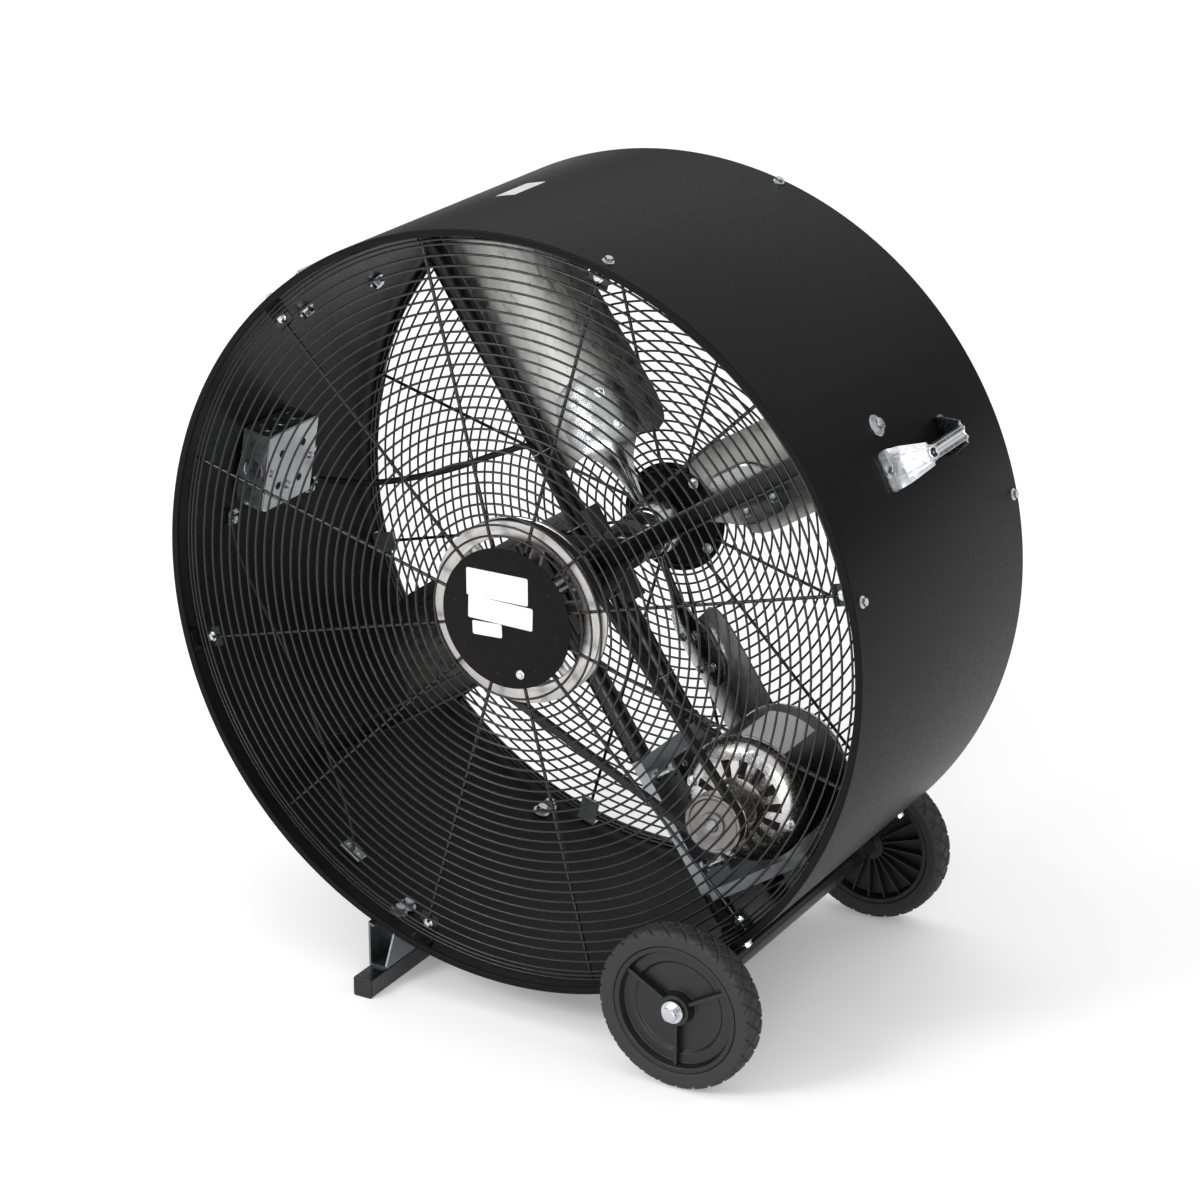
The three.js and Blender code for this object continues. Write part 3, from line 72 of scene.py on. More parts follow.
# %% Camera at the picture's angle
AZIMUTH, ELEVATION = math.radians(29.7736), math.radians(20.9493)
EYE = np.array([1.95003, -3.3936, 1.9640])
back = np.array([
    math.sin(AZIMUTH) * math.cos(ELEVATION),
    -math.cos(AZIMUTH) * math.cos(ELEVATION),
    math.sin(ELEVATION),
])
right = np.array([math.cos(AZIMUTH), math.sin(AZIMUTH), 0.0])
up = np.cross(back, right)
lens = bpy.data.cameras.new("studio_camera")
lens.lens = 3458.877 / 1200 * 36
lens.sensor_width = 36
lens.clip_end = 50
camera = bpy.data.objects.new("studio_camera", lens)
turn = np.eye(4)
turn[:3, 0], turn[:3, 1], turn[:3, 2], turn[:3, 3] = right, up, back, EYE
camera.matrix_world = Matrix(turn.tolist())
bpy.context.scene.collection.objects.link(camera)
bpy.context.scene.camera = camera
print("lens", round(lens.lens, 2), "mm")

# %% [markdown]
# ## Mesh helpers
# Every shape here is a grid of points: rows that follow a profile or a path, and columns
# that go round it. One function turns the grid's indices into faces, so a shape is only
# its formula for the points.


# %% Grids, joins and pieces
def grid_faces(rows, columns, wrap_rows=False, wrap_columns=True):
    """Quads between neighbours of a rows x columns grid, closed round either way."""
    i = np.arange(rows if wrap_rows else rows - 1)[:, None]
    j = np.arange(columns if wrap_columns else columns - 1)[None, :]
    k, m = (i + 1) % rows, (j + 1) % columns
    quads = np.stack([i * columns + j, i * columns + m, k * columns + m, k * columns + j], -1)
    return quads.reshape(-1, 4).tolist()


def joined(*parts):
    """Several (points, faces) parts as one, each with its face numbers moved along."""
    points, faces, start = [], [], 0
    for part_points, part_faces in parts:
        points.append(part_points)
        faces += [[index + start for index in face] for face in part_faces]
        start += len(part_points)
    return np.vstack(points), faces


def outward(degrees):
    """The unit direction at an angle from the top, square to Y."""
    a = math.radians(degrees)
    return np.array([math.sin(a), 0.0, math.cos(a)])


def placed(part, degrees=0.0, origin=AXIS):
    """Turns a part about Y, so that its +Z points at an angle from the top, and moves it."""
    points, faces = part
    a = math.radians(degrees)
    x, y, z = points.T
    turned = np.stack([x * math.cos(a) + z * math.sin(a), y,
                       z * math.cos(a) - x * math.sin(a)], -1)
    return turned + origin, faces


def spot(x, y, z, degrees, origin=AXIS):
    """Where one place goes when it is turned about Y and moved."""
    return placed((np.array([[x, y, z]], float), []), degrees, origin)[0][0]


def upright(part):
    """A part made round Y, stood on +Z."""
    return part[0][:, [0, 2, 1]], part[1]


def stood(part, at, normal):
    """Stands a part, made on +Z, at a point with its +Z along a normal."""
    points, faces = part
    w = np.asarray(normal, float) / np.linalg.norm(normal)
    u = np.cross([0.0, 1.0, 0.0] if abs(w[1]) < 0.9 else [1.0, 0.0, 0.0], w)
    u /= np.linalg.norm(u)
    v = np.cross(w, u)
    return points @ np.stack([u, v, w]) + np.asarray(at, float), faces


def make_piece(name, part, material, body, stands_for=(), sharp=32, weld=0.01):
    """A mesh object from a part in millimetres, welded, facing outwards and smooth."""
    points, faces = part
    mesh = bpy.data.meshes.new(name)
    mesh.from_pydata((np.asarray(points) * MM).tolist(), [], faces)
    work = bmesh.new()
    work.from_mesh(mesh)
    bmesh.ops.remove_doubles(work, verts=work.verts, dist=weld * MM)
    bmesh.ops.recalc_face_normals(work, faces=work.faces)
    work.to_mesh(mesh)
    work.free()
    mesh.polygons.foreach_set("use_smooth", np.ones(len(mesh.polygons), bool))
    mesh.set_sharp_from_angle(angle=math.radians(sharp))
    mesh.materials.append(material)
    piece = bpy.data.objects.new(name, mesh)
    bpy.context.scene.collection.objects.link(piece)
    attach(piece, body)
    if stands_for:
        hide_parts(*stands_for)
    print(name, len(mesh.polygons), "faces")


# %% Profiles: rounded corners and insets
def rounded(outline, radius, steps=4):
    """Each corner of a closed outline becomes a parabola between points beside it."""
    p = np.asarray(outline, float)
    before, after = np.roll(p, 1, 0) - p, np.roll(p, -1, 0) - p
    length_before = np.linalg.norm(before, axis=1, keepdims=True)
    length_after = np.linalg.norm(after, axis=1, keepdims=True)
    start = p + before * np.minimum(radius / length_before, 0.45)
    end = p + after * np.minimum(radius / length_after, 0.45)
    t = np.linspace(0, 1, steps + 1)[None, :, None]
    curve = (1 - t) ** 2 * start[:, None] + 2 * t * (1 - t) * p[:, None] + t ** 2 * end[:, None]
    return curve.reshape(-1, 2)


def oblong(x0, x1, z0, z1, radius, steps=4):
    """A rectangle with rounded corners."""
    return rounded([(x0, z0), (x1, z0), (x1, z1), (x0, z1)], radius, steps)


def inset(outline, distance):
    """A closed outline moved inwards along the mean of its two edges' normals."""
    before, after = outline - np.roll(outline, 1, 0), np.roll(outline, -1, 0) - outline
    area = np.sum(outline[:, 0] * np.roll(outline[:, 1], -1)
                  - outline[:, 1] * np.roll(outline[:, 0], -1))
    normals = []
    for edge in (before, after):
        edge = edge / np.maximum(np.linalg.norm(edge, axis=1, keepdims=True), 1e-9)
        normals.append(np.stack([-edge[:, 1], edge[:, 0]], -1) * np.sign(area))
    mean = normals[0] + normals[1]
    mean /= np.maximum(np.linalg.norm(mean, axis=1, keepdims=True), 1e-9)
    return outline + distance * mean


def arc(radius, start, end, count, centre=(0.0, 0.0)):
    """Points [x, z] on a circle between two angles from the top, in degrees."""
    a = np.radians(np.linspace(start, end, count))
    return np.stack([centre[0] + radius * np.sin(a), centre[1] + radius * np.cos(a)], -1)


# %% Solids: revolved, extruded and swept
def revolved(profile, sides=128, centre=(0.0, 0.0)):
    """A closed [radius, y] profile turned about Y: x = r sin a, z = r cos a."""
    profile = np.asarray(profile, float)
    a = np.linspace(0, 2 * np.pi, sides, endpoint=False)
    x = profile[:, :1] * np.sin(a) + centre[0]
    z = profile[:, :1] * np.cos(a) + centre[1]
    y = np.repeat(profile[:, 1:], sides, 1)
    points = np.stack([x, y, z], -1).reshape(-1, 3)
    return points, grid_faces(len(profile), sides, wrap_rows=True)


def extruded(outline, y0, y1, bevel=0.5):
    """An [x, z] outline carried along Y, with its two end edges broken by a small bevel."""
    outline = np.asarray(outline, float)
    small = inset(outline, bevel)
    rows = [(small, y0), (outline, y0 + bevel), (outline, y1 - bevel), (small, y1)]
    points = np.vstack([np.stack([p[:, 0], np.full(len(p), y), p[:, 1]], -1) for p, y in rows])
    count = len(outline)
    faces = grid_faces(4, count)
    faces += [list(range(count)), list(range(4 * count - 1, 3 * count - 1, -1))]
    return points, faces


def curved_film(radius, thick, angles, count, y0, y1):
    """A label's film bent round Y between two angles from the top."""
    skin = np.vstack([arc(radius, *angles, count), arc(radius - thick, *angles[::-1], count)])
    return extruded(skin, y0, y1, 0.05)


def swept(path, section, closed=False, upright=(0.0, 1.0, 0.0)):
    """A section [side, lift] carried along a path; side = tangent x upright at each point."""
    path, section = np.asarray(path, float), np.asarray(section, float)
    if closed:
        tangent = np.roll(path, -1, 0) - np.roll(path, 1, 0)
    else:
        tangent = np.gradient(path, axis=0)
    tangent /= np.linalg.norm(tangent, axis=1, keepdims=True)
    side = np.cross(tangent, upright)
    side /= np.linalg.norm(side, axis=1, keepdims=True)
    lift = np.cross(side, tangent)
    points = (path[:, None] + section[None, :, :1] * side[:, None]
              + section[None, :, 1:] * lift[:, None]).reshape(-1, 3)
    count = len(section)
    faces = grid_faces(len(path), count, wrap_rows=closed)
    if not closed:
        faces += [list(range(count)), list(range(len(points) - 1, len(points) - 1 - count, -1))]
    return points, faces


def circle(radius, count=12):
    """A round section."""
    a = np.linspace(0, 2 * np.pi, count, endpoint=False)
    return np.stack([radius * np.cos(a), radius * np.sin(a)], -1)


def through(points, count):
    """A centripetal Catmull-Rom curve through points, sampled evenly in its knots."""
    p = np.asarray(points, float)
    p = np.vstack([2 * p[0] - p[1], p, 2 * p[-1] - p[-2]])
    knots = np.concatenate([[0], np.cumsum(np.linalg.norm(np.diff(p, axis=0), axis=1) ** 0.5)])
    t = np.linspace(knots[1], knots[-2], count)
    i = np.clip(np.searchsorted(knots, t, side="right") - 1, 1, len(p) - 3)
    t = t[:, None]
    k = [knots[i + s][:, None] for s in (-1, 0, 1, 2)]
    q = [p[i + s] for s in (-1, 0, 1, 2)]
    a = [(k[s + 1] - t) / (k[s + 1] - k[s]) * q[s] + (t - k[s]) / (k[s + 1] - k[s]) * q[s + 1]
         for s in range(3)]
    b = [(k[s + 2] - t) / (k[s + 2] - k[s]) * a[s] + (t - k[s]) / (k[s + 2] - k[s]) * a[s + 1]
         for s in range(2)]
    return (k[2] - t) / (k[2] - k[1]) * b[0] + (t - k[1]) / (k[2] - k[1]) * b[1]


# %% Fasteners: hexagon heads, washers and studs
def hex_head(across, height, washer=0.0, sheet=1.6):
    """A hexagon head on +Z: radius = half width / cos of the angle to its flat, domed on top."""
    a = np.linspace(0, 2 * np.pi, 36, endpoint=False)
    flat = np.radians((np.degrees(a) + 30) % 60 - 30)
    hexagon = across / 2 / np.cos(flat)
    disc = np.full(36, across / 2 * 0.97)
    base = sheet if washer else 0.0

    def stacked(rows):
        points = [np.stack([r * np.cos(a), r * np.sin(a), np.full(36, z)], -1) for r, z in rows]
        return np.vstack(points), grid_faces(len(rows), 36)

    head = stacked([(hexagon * 0, base), (hexagon, base), (hexagon, base + height * 0.82),
                    (np.minimum(hexagon, disc * 1.08), base + height * 0.92),
                    (disc * 0.9, base + height), (disc * 0, base + height)])
    if not washer:
        return head
    return joined(head, stacked([(0, 0), (washer, 0), (washer, sheet * 0.7),
                                 (washer - 0.5, sheet), (0, sheet)]))


def on_drum(angle, y, radius=DRUM):
    """A point on the drum at an angle from the top, and the wall's outward normal."""
    normal = outward(angle)
    return AXIS + radius * normal + [0, y, 0], normal


# %% [markdown]
# ## Finishes
# Most of the fan is black, so what tells the pieces apart is gloss and grain: powder coat
# on the drum, slick coated wire, satin enamel on the frame, dull rubber. The bright
# pieces are zinc plate, galvanised sheet, mill aluminium and as-cast alloy.


# %% One function for a node, one for a new finish
def linear(code):
    """A hex sRGB colour as linear RGBA: ((c + 0.055) / 1.055) ^ 2.4 above the toe."""
    c = np.array([int(code[i:i + 2], 16) for i in (1, 3, 5)]) / 255
    c = np.where(c <= 0.04045, c / 12.92, ((c + 0.055) / 1.055) ** 2.4)
    return (*c.tolist(), 1.0)


def add(tree, kind, inputs=None, **settings):
    """Adds a node, sets its properties, and fills inputs with values or other sockets."""
    made = tree.nodes.new(kind)
    for key, value in settings.items():
        setattr(made, key, value)
    for key, value in (inputs or {}).items():
        if isinstance(value, bpy.types.NodeSocket):
            tree.links.new(value, made.inputs[key])
        else:
            made.inputs[key].default_value = value
    return made


def new_material(name, **sockets):
    """A material, its node tree and its shader, with the shader's plain sockets set."""
    material = bpy.data.materials.new(name)
    material.use_nodes = True
    tree = material.node_tree
    shader = tree.nodes["Principled BSDF"]
    for key, value in sockets.items():
        shader.inputs[key.replace("_", " ")].default_value = value
    return material, tree, shader


def finish(name, dark, light, rough, scale_mm, bump_mm, stretch=(1, 1, 1), **sockets):
    """Noise at a real scale drives colour between two tones, roughness and a little relief."""
    material, tree, shader = new_material(name, **sockets)
    place = add(tree, "ShaderNodeTexCoord")
    spread = add(tree, "ShaderNodeMapping", {"Vector": place.outputs["Object"], "Scale": stretch})
    grain = add(tree, "ShaderNodeTexNoise", {
        "Vector": spread.outputs["Vector"], "Scale": 1 / (scale_mm * MM), "Detail": 3.0})
    tone = add(tree, "ShaderNodeMix", {
        0: grain.outputs["Fac"], 6: linear(dark), 7: linear(light)}, data_type="RGBA")
    level = add(tree, "ShaderNodeMapRange", {
        "Value": grain.outputs["Fac"], "From Min": 0.3, "From Max": 0.7,
        "To Min": rough[0], "To Max": rough[1]})
    relief = add(tree, "ShaderNodeBump", {
        "Height": grain.outputs["Fac"], "Strength": 0.6, "Distance": bump_mm * MM})
    tree.links.new(tone.outputs[2], shader.inputs["Base Color"])
    tree.links.new(level.outputs["Result"], shader.inputs["Roughness"])
    tree.links.new(relief.outputs["Normal"], shader.inputs["Normal"])
    return material


# %% Black finishes
# Powder coat: a baked polyester film with a fine leathery grain, half gloss. The grain is
# about 1 mm on the sheet and is drawn at 3 mm, so that it shows from three metres away.
powder_coat = finish("black_powder_coat", "#0b0b0b", "#161515", (0.34, 0.48), 3.0, 0.08,
                     IOR=1.45, Specular_IOR_Level=0.1)
# Coated wire: dipped in thermoplastic, smooth and slick.
coated_wire = finish("black_coated_wire", "#08080a", "#101011", (0.24, 0.36), 9.0, 0.02,
                     IOR=1.5)
# Enamel: sprayed and smooth, with a slight orange peel about 6 mm across.
enamel = finish("black_satin_enamel", "#0f0f10", "#19191a", (0.26, 0.4), 6.0, 0.06, IOR=1.5)
# Rubber: dull, with a dusty bloom in soft patches; the cable's jacket is smoother.
belt_rubber = finish("v_belt_rubber", "#141414", "#262626", (0.62, 0.85), 4.0, 0.15, IOR=1.5)
jacket = finish("cable_jacket", "#0d0d0e", "#171718", (0.4, 0.6), 5.0, 0.04, IOR=1.5)
tyre_rubber = finish("moulded_tyre_rubber", "#191919", "#2a2a2b", (0.55, 0.8), 3.5, 0.2,
                     IOR=1.5)
# Moulded polypropylene: satin from the mould, darker than the tyre.
moulded = finish("moulded_black_plastic", "#0c0c0d", "#141415", (0.34, 0.5), 2.5, 0.08,
                 IOR=1.49)
# Painted shade: a near-black finish put where holes, slots and vents are, for the shade inside
# them.
hole_shade_paint = finish("vent_shadow", "#070707", "#121010", (0.7, 0.9), 3.0, 0.1, IOR=1.5)
print("black finishes made")

# %% Bright finishes
METAL = {"Metallic": 1.0}
# Zinc plate: bright and bluish, with soft clouding from the bath.
zinc = finish("bright_zinc_plate", "#b2b6ba", "#dadde0", (0.2, 0.36), 7.0, 0.03, **METAL)
# Galvanised sheet: large crystals of zinc, flatter and greyer than plate.
galvanised = finish("galvanised_sheet", "#b0b3b4", "#d2d5d6", (0.26, 0.44), 11.0, 0.05, **METAL)
# Mill aluminium: cold-rolled, with fine lines along the blade and a satin sheen.
mill_sheet = finish("mill_finish_aluminium", "#b3b3b2", "#cfcecd", (0.26, 0.42), 14.0, 0.03,
                    (1, 5, 1), **METAL)
# Pressed iron: the sheet's own bright skin, drawn smooth by the press.
polished = finish("pressed_bright_iron", "#c4c5c6", "#e2e2e2", (0.12, 0.26), 16.0, 0.04,
                  **METAL)
# As-cast alloy: a grey skin with the sand's grain in it.
cast_alloy = finish("as_cast_alloy", "#bcb8b4", "#dcdad7", (0.28, 0.44), 2.2, 0.1, **METAL)
# Die-cast zinc: the motor's small pulley, a flatter and darker grey than the sheave.
die_cast = finish("die_cast_zinc", "#7d7b79", "#9a9896", (0.32, 0.48), 2.2, 0.08, **METAL)
# Buffed alloy: the motor's bells, brushed bright after casting.
buffed = finish("buffed_alloy", "#cfccc9", "#eae8e6", (0.18, 0.32), 4.0, 0.06, **METAL)
# Ground steel: cool grey, with the wheel's fine marks round the shaft.
ground_steel = finish("ground_steel", "#87888b", "#a8a9ab", (0.2, 0.36), 5.0, 0.02, (1, 8, 1),
                      **METAL)
# Plated strip: dull zinc over folded sheet, an even mid grey.
folded_steel = finish("plated_folded_steel", "#9c9ea0", "#bfc1c3", (0.34, 0.5), 12.0, 0.04,
                      **METAL)
# The foot's brackets: the same folded strip, drawn darker as painted shade for their place under
# the drum.
shaded_strip_paint = finish("folded_steel_painted_shade", "#6b6d6f", "#8c8e90", (0.34, 0.5), 12.0, 0.04,
                    **METAL)
# Printed film: a white gloss label with nothing on it.
label_film = finish("blank_label_film", "#d6d7d6", "#e6e7e6", (0.4, 0.5), 20.0, 0.01, IOR=1.46)
# Natural nylon, slightly translucent and waxy.
nylon = finish("nylon_tie", "#aeada7", "#c6c5bf", (0.38, 0.52), 6.0, 0.02, IOR=1.53)
print("bright finishes made")


def dress(material, *names):
    """Gives CAD nodes that keep their own shape a finish in their material slots."""
    for name in names:
        mesh = nodes[name].data
        if not mesh.materials:
            mesh.materials.append(material)
        for index in range(len(mesh.materials)):
            mesh.materials[index] = material
    print("dressed", ", ".join(names))


# %% [markdown]
# ## The drum
# A steel sheet is rolled into a ring and its two edges are curled inwards over a bead. The
# curl is what catches the light as a thin line round the mouth, so the profile follows it.

# %% Drum shell
wall, curl, lip = 1.6, 9, 6
half = HALF_DEPTH
edge = rounded([
    (DRUM, -half), (DRUM, half), (DRUM - curl, half), (DRUM - curl, half - lip),
    (DRUM - wall, half - lip), (DRUM - wall, lip - half), (DRUM - curl, lip - half),
    (DRUM - curl, -half),
], 2.4, 5)
make_piece("drum_shell", placed(revolved(edge, 256)), powder_coat, "frame",
           ["drum"], sharp=50)

# %% [markdown]
# ## The grilles
# Thin rings about 13 mm apart are welded to twelve stouter spokes. The rings stay round
# in section, because each one carries its own thin line of light.

# %% Ring wires and spokes
RING_RADII = np.concatenate([[44.0, 100.0], np.linspace(113, 444, 27), [449.5, 454.5]])
OUTLET_RADII = np.concatenate([[63.0, 76.0, 88.0], RING_RADII[1:]])
SPOKES = 15.8 + 30.0 * np.arange(12)


def grille(radii, face_y, inwards):
    """All rings at once: each is a small circle of wire turned about the drum's axis."""
    wire, spoke = 1.45, 2.1
    around = np.linspace(0, 2 * np.pi, 180, endpoint=False)
    section = np.linspace(0, 2 * np.pi, 8, endpoint=False)
    radius = radii[:, None, None] + wire * np.cos(section)[None, None, :]
    y = face_y + inwards * (wire + wire * np.sin(section))[None, None, :]
    a = around[None, :, None]
    shape = np.broadcast_shapes(radius.shape, a.shape)
    points = np.stack([radius * np.sin(a), np.broadcast_to(y, shape), radius * np.cos(a)], -1)
    ring_faces = grid_faces(180, 8, wrap_rows=True)
    rings = [(points[i].reshape(-1, 3), ring_faces) for i in range(len(radii))]
    spoke_y = face_y + inwards * (2 * wire + spoke - 0.8)
    spokes = []
    for angle in SPOKES:
        ends = np.linspace(radii[0], 454, 6)[:, None] * outward(angle) + [0, spoke_y, 0]
        spokes.append(swept(ends, circle(spoke, 10)))
    return placed(joined(*rings, *spokes))


for name, radii, side in (("intake", RING_RADII, 1), ("outlet", OUTLET_RADII, -1)):
    wires = grille(radii, side * depth(GRILLE_SINK), side)
    make_piece(name + "_wires", wires, coated_wire, "frame",
               [name + "_grille"], sharp=60, weld=0.001)

# The outlet's middle is shut by a smaller black disc, bolted through the wires.
disc_y = -depth(18.8)
disc = oblong(0, 71, -1.3, 0, 0.6, 3) + [0, disc_y + 1.4]
make_piece("outlet_disc", placed(revolved(disc, 96)), powder_coat, "frame")
heads = []
for angle in SPOKES[::3] + 15:
    for side, y in ((-1, disc_y - 7), (1, disc_y + 1.4)):
        heads.append(stood(hex_head(8, 3, 7, 1.4), AXIS + 60 * outward(angle) + [0, y, 0],
                           [0, side, 0]))
make_piece("outlet_disc_bolts", joined(*heads), zinc, "frame", sharp=25)

# %% Grille clips and their rivets
def clip(angle, face_y, inwards):
    """A folded strip: a leg under the wires, then a flange along the wall to the mouth."""
    start, end = face_y + inwards * 5.5, face_y + inwards * 8.0
    leg = extruded(oblong(-13, 13, 428, 462, 3), min(start, end), max(start, end))
    far = end - inwards * 17
    flange = extruded([(-13, 460), (13, 460), (13, 462.3), (-13, 462.3)], min(far, end),
                      max(far, end))
    return placed(joined(leg, flange), angle)


clip_angles = SPOKES[::2]
front_clips = joined(*[clip(a, depth(GRILLE_SINK), 1) for a in clip_angles])
make_piece("intake_clips", front_clips, enamel, "frame")
rear_clips = joined(*[clip(a, -depth(GRILLE_SINK), -1) for a in clip_angles])
make_piece("outlet_clips", rear_clips, folded_steel, "frame")

rivets = []
for angle in clip_angles:
    at, normal = on_drum(angle, depth(24.4), 441)
    rivets.append(stood(hex_head(7, 3.2, 6.5, 1.2), at, [0, -1, 0]))
    for y in (depth(20), -depth(13)):
        at, normal = on_drum(angle + 1, y)
        rivets.append(stood(hex_head(8.5, 4.5, 7.2, 1.5), at, normal))
make_piece("rim_screws", joined(*rivets), zinc, "frame", sharp=25)

# %% [markdown]
# ## The centre plate
# A black disc screwed over the middle of the intake wires carries three stacked labels,
# which are left bare. Eight tiny holes lie on a circle, and one small screw is bright.

# %% Plate, labels and screw
plate_back = depth(18.7)
disc = oblong(0, 86, plate_back - 1.6, plate_back, 0.7, 3)
make_piece("plate_disc", placed(revolved(disc, 128)), powder_coat, "frame",
           ["centre_plate"])
front = plate_back - 1.6


def label(x0, x1, z0, z1, y, degrees=0.0):
    """A thin film with rounded corners, tilted in its own plane about Y."""
    return placed(extruded(oblong(x0, x1, z0, z1, 2.5), y - 0.35, y, 0.1), degrees)


films = joined(label(-53, 30, 21, 55, front), label(-51, 36, -8, 20, front, 1.5),
               label(-46, -6, -25, -8, front, -2))
make_piece("plate_labels", films, label_film, "frame")
# The eight holes are near-black discs of painted shade.
dots = []
for angle in np.arange(8) * 45 + 10:
    dots.append(stood(hex_head(2.6, 0.4), AXIS + 70 * outward(angle) + [0, front, 0],
                      [0, -1, 0]))
make_piece("plate_holes", joined(*dots), hole_shade_paint, "frame", sharp=25)
make_piece("plate_screw", stood(hex_head(7, 2.5, 5.5, 1), AXIS + [19, front, -66], [0, -1, 0]),
           zinc, "frame", sharp=25)

# %% [markdown]
# ## The inner frame
# Two welded tubes and two channel arms hold the shaft in the middle of the drum.

# %% Tubes and arms
reach = 457.0
for name, y, top in (("rear_tube", depth(308), reach), ("front_tube", depth(185), 66.0)):
    long = np.array([(TUBE_X, y, z) for z in np.linspace(-reach, top, 8)])
    outer = swept(long, circle(13.5, 40))
    make_piece(name + "_steel", placed(outer, LEAN), enamel, "frame", [name])
dress(enamel, "right_arm", "left_arm", "spider_plate", "front_pillow_block",
      "rear_pillow_block", "motor_base", "axle_saddle_front", "axle_saddle_rear")

# %% Shaft and bearing inserts
shaft_profile = [(0, depth(30)), (9, depth(30)), (10, depth(31)), (10, depth(407)),
                 (9, depth(408)), (0, depth(408))]
make_piece("ground_shaft", placed(revolved(shaft_profile, 48)), ground_steel, "fan_rotor",
           ["fan_shaft"])
for name, y in (("front_bearing_insert", depth(185)), ("rear_bearing_insert", depth(308))):
    ring = rounded([(20, y - 9), (20, y + 9), (15, y + 18), (10.4, y + 18), (10.4, y - 18),
                    (15, y - 18)], 1.5, 3)
    make_piece(name + "_ring", placed(revolved(ring, 64)), ground_steel, "frame",
               [name])

# %% [markdown]
# ## Sheaves and belt
# The large sheave is a light casting with a machined rim. The belt is a plain V-belt: flat
# back, sloping flanks, a little rounded at its edges.


# %% Sheaves
def groove(radius, bore, y, chamfer=0.8):
    """A V-groove rim's [radius, y] profile, 10 degrees wider than the belt's sink."""
    h, mouth, floor = 10.55, 7.28, radius - 11.5
    bottom = mouth - 11.5 * math.tan(math.radians(18))
    return rounded([(radius, y - h), (radius, y - mouth), (floor, y - bottom),
                    (floor, y + bottom), (radius, y + mouth), (radius, y + h),
                    (bore, y + h), (bore, y - h)], chamfer, 3)


rim = revolved(groove(112, 91.5, BELT_Y), 160)
hub = revolved(rounded([(10.4, BELT_Y - 16), (22, BELT_Y - 16), (24, BELT_Y + 16),
                        (10.4, BELT_Y + 16)], 1.5, 3), 64)
arms = []
for angle in 17 + 60 * np.arange(6):
    t = np.linspace(18, 96, 12)[:, None]
    arms.append(swept(t * outward(angle) + [0, BELT_Y, 0], circle(1, 16) * [9, 4.5]))
make_piece("cast_sheave", placed(joined(rim, hub, *arms)), cast_alloy, "fan_rotor",
           ["fan_sheave"])

MOTOR = np.array([104.0, 0.0, -320.0])         # in the leaning frame


def on_motor(part):
    """Moves a part made round Y to the motor's shaft and leans it with the frame."""
    points, faces = part
    return placed((points + MOTOR, faces), LEAN)


small = revolved(rounded([(36, -10.55), (36, -7.3), (24.5, -3.6), (24.5, 3.6), (36, 7.3),
                          (36, 10.55), (17, 10.55), (17, 16), (8.4, 16), (8.4, -12.5),
                          (15, -12.5), (15, -8), (30, -8), (32, -10.55)], 0.8, 3), 96)
small = small[0] + [0, BELT_Y, 0], small[1]
make_piece("cast_pulley", on_motor(small), die_cast, "motor_rotor",
           ["motor_pulley"])

# %% Belt
distance = math.hypot(MOTOR[0], MOTOR[2])
heading = math.degrees(math.atan2(MOTOR[0], MOTOR[2]))
wrap = math.degrees(math.acos((112 - 36) / distance))
far_arc = arc(107, heading + wrap, heading + 360 - wrap, 72)
near_arc = arc(31, heading - wrap, heading + wrap, 30, (MOTOR[0], MOTOR[2]))
loop = np.vstack([far_arc, near_arc])
loop = np.stack([loop[:, 0], np.full(len(loop), BELT_Y), loop[:, 1]], -1)
belt_section = rounded([(4, -6.35), (4, 6.35), (-4, 3.75), (-4, -3.75)], 1.0, 2)
belt = swept(loop, belt_section, closed=True)
make_piece("v_belt", placed(belt, LEAN), belt_rubber, "frame", ["drive_belt"])

# %% [markdown]
# ## The motor
# A rolled shell between two cast bells. The front bell's vents are a ring of slots round
# the nose: the surface is a grid whose points sink where a slot is, and a near-black ring in
# front of the slots' floors is painted shade for the dark inside them.


# %% End bells
def end_bell(length, y, inwards, slots=0):
    """The bell turned about Y with its slots sunk: y = face + inwards (along + 9 mask)."""
    steps = [(8.4, 0), (19, 0), (29, 1.5), (33, 8), (34.5, 9.5)]
    steps += [(r, 9.5 + (r - 34.5) * 0.13) for r in np.linspace(35.5, 55, 14)]
    steps += [(56, 12.5), (64, 15), (71, 19), (75, 24), (78, length - 5), (79, length - 2),
              (79, length), (8.4, length)]
    radius, along = np.array(steps).T
    sides = slots * 16 or 128
    a = np.linspace(0, 2 * np.pi, sides, endpoint=False)
    in_band = ((radius > 35.4) & (radius < 55.1)).astype(float)
    share = (a * slots / (2 * np.pi)) % 1
    in_slot = (np.abs(share - 0.5) < 0.24).astype(float)
    sink = in_band[:, None] * in_slot[None, :] * 9
    y_all = y + inwards * (along[:, None] + sink)
    points = np.stack([radius[:, None] * np.sin(a), y_all, radius[:, None] * np.cos(a)], -1)
    return points.reshape(-1, 3), grid_faces(len(radius), sides, wrap_rows=True)


front_part = end_bell(34, depth(94), 1, 14)
make_piece("front_bell_cast", on_motor(front_part), buffed, "frame",
                        ["motor_front_bell"], weld=0.001)
# Painted shade inside the slots: a near-black ring just in front of the slots' floors.
vents = revolved([(35.6, 17.9), (54.9, 20.4), (54.9, 21.2), (35.6, 18.7)], 112)
vents = vents[0] + [0, depth(94), 0], vents[1]
make_piece("bell_vent_shade", on_motor(vents), hole_shade_paint, "frame")
rear_part = end_bell(28, depth(262), -1)
make_piece("rear_bell_cast", on_motor(rear_part), buffed, "frame",
           ["motor_rear_bell"])

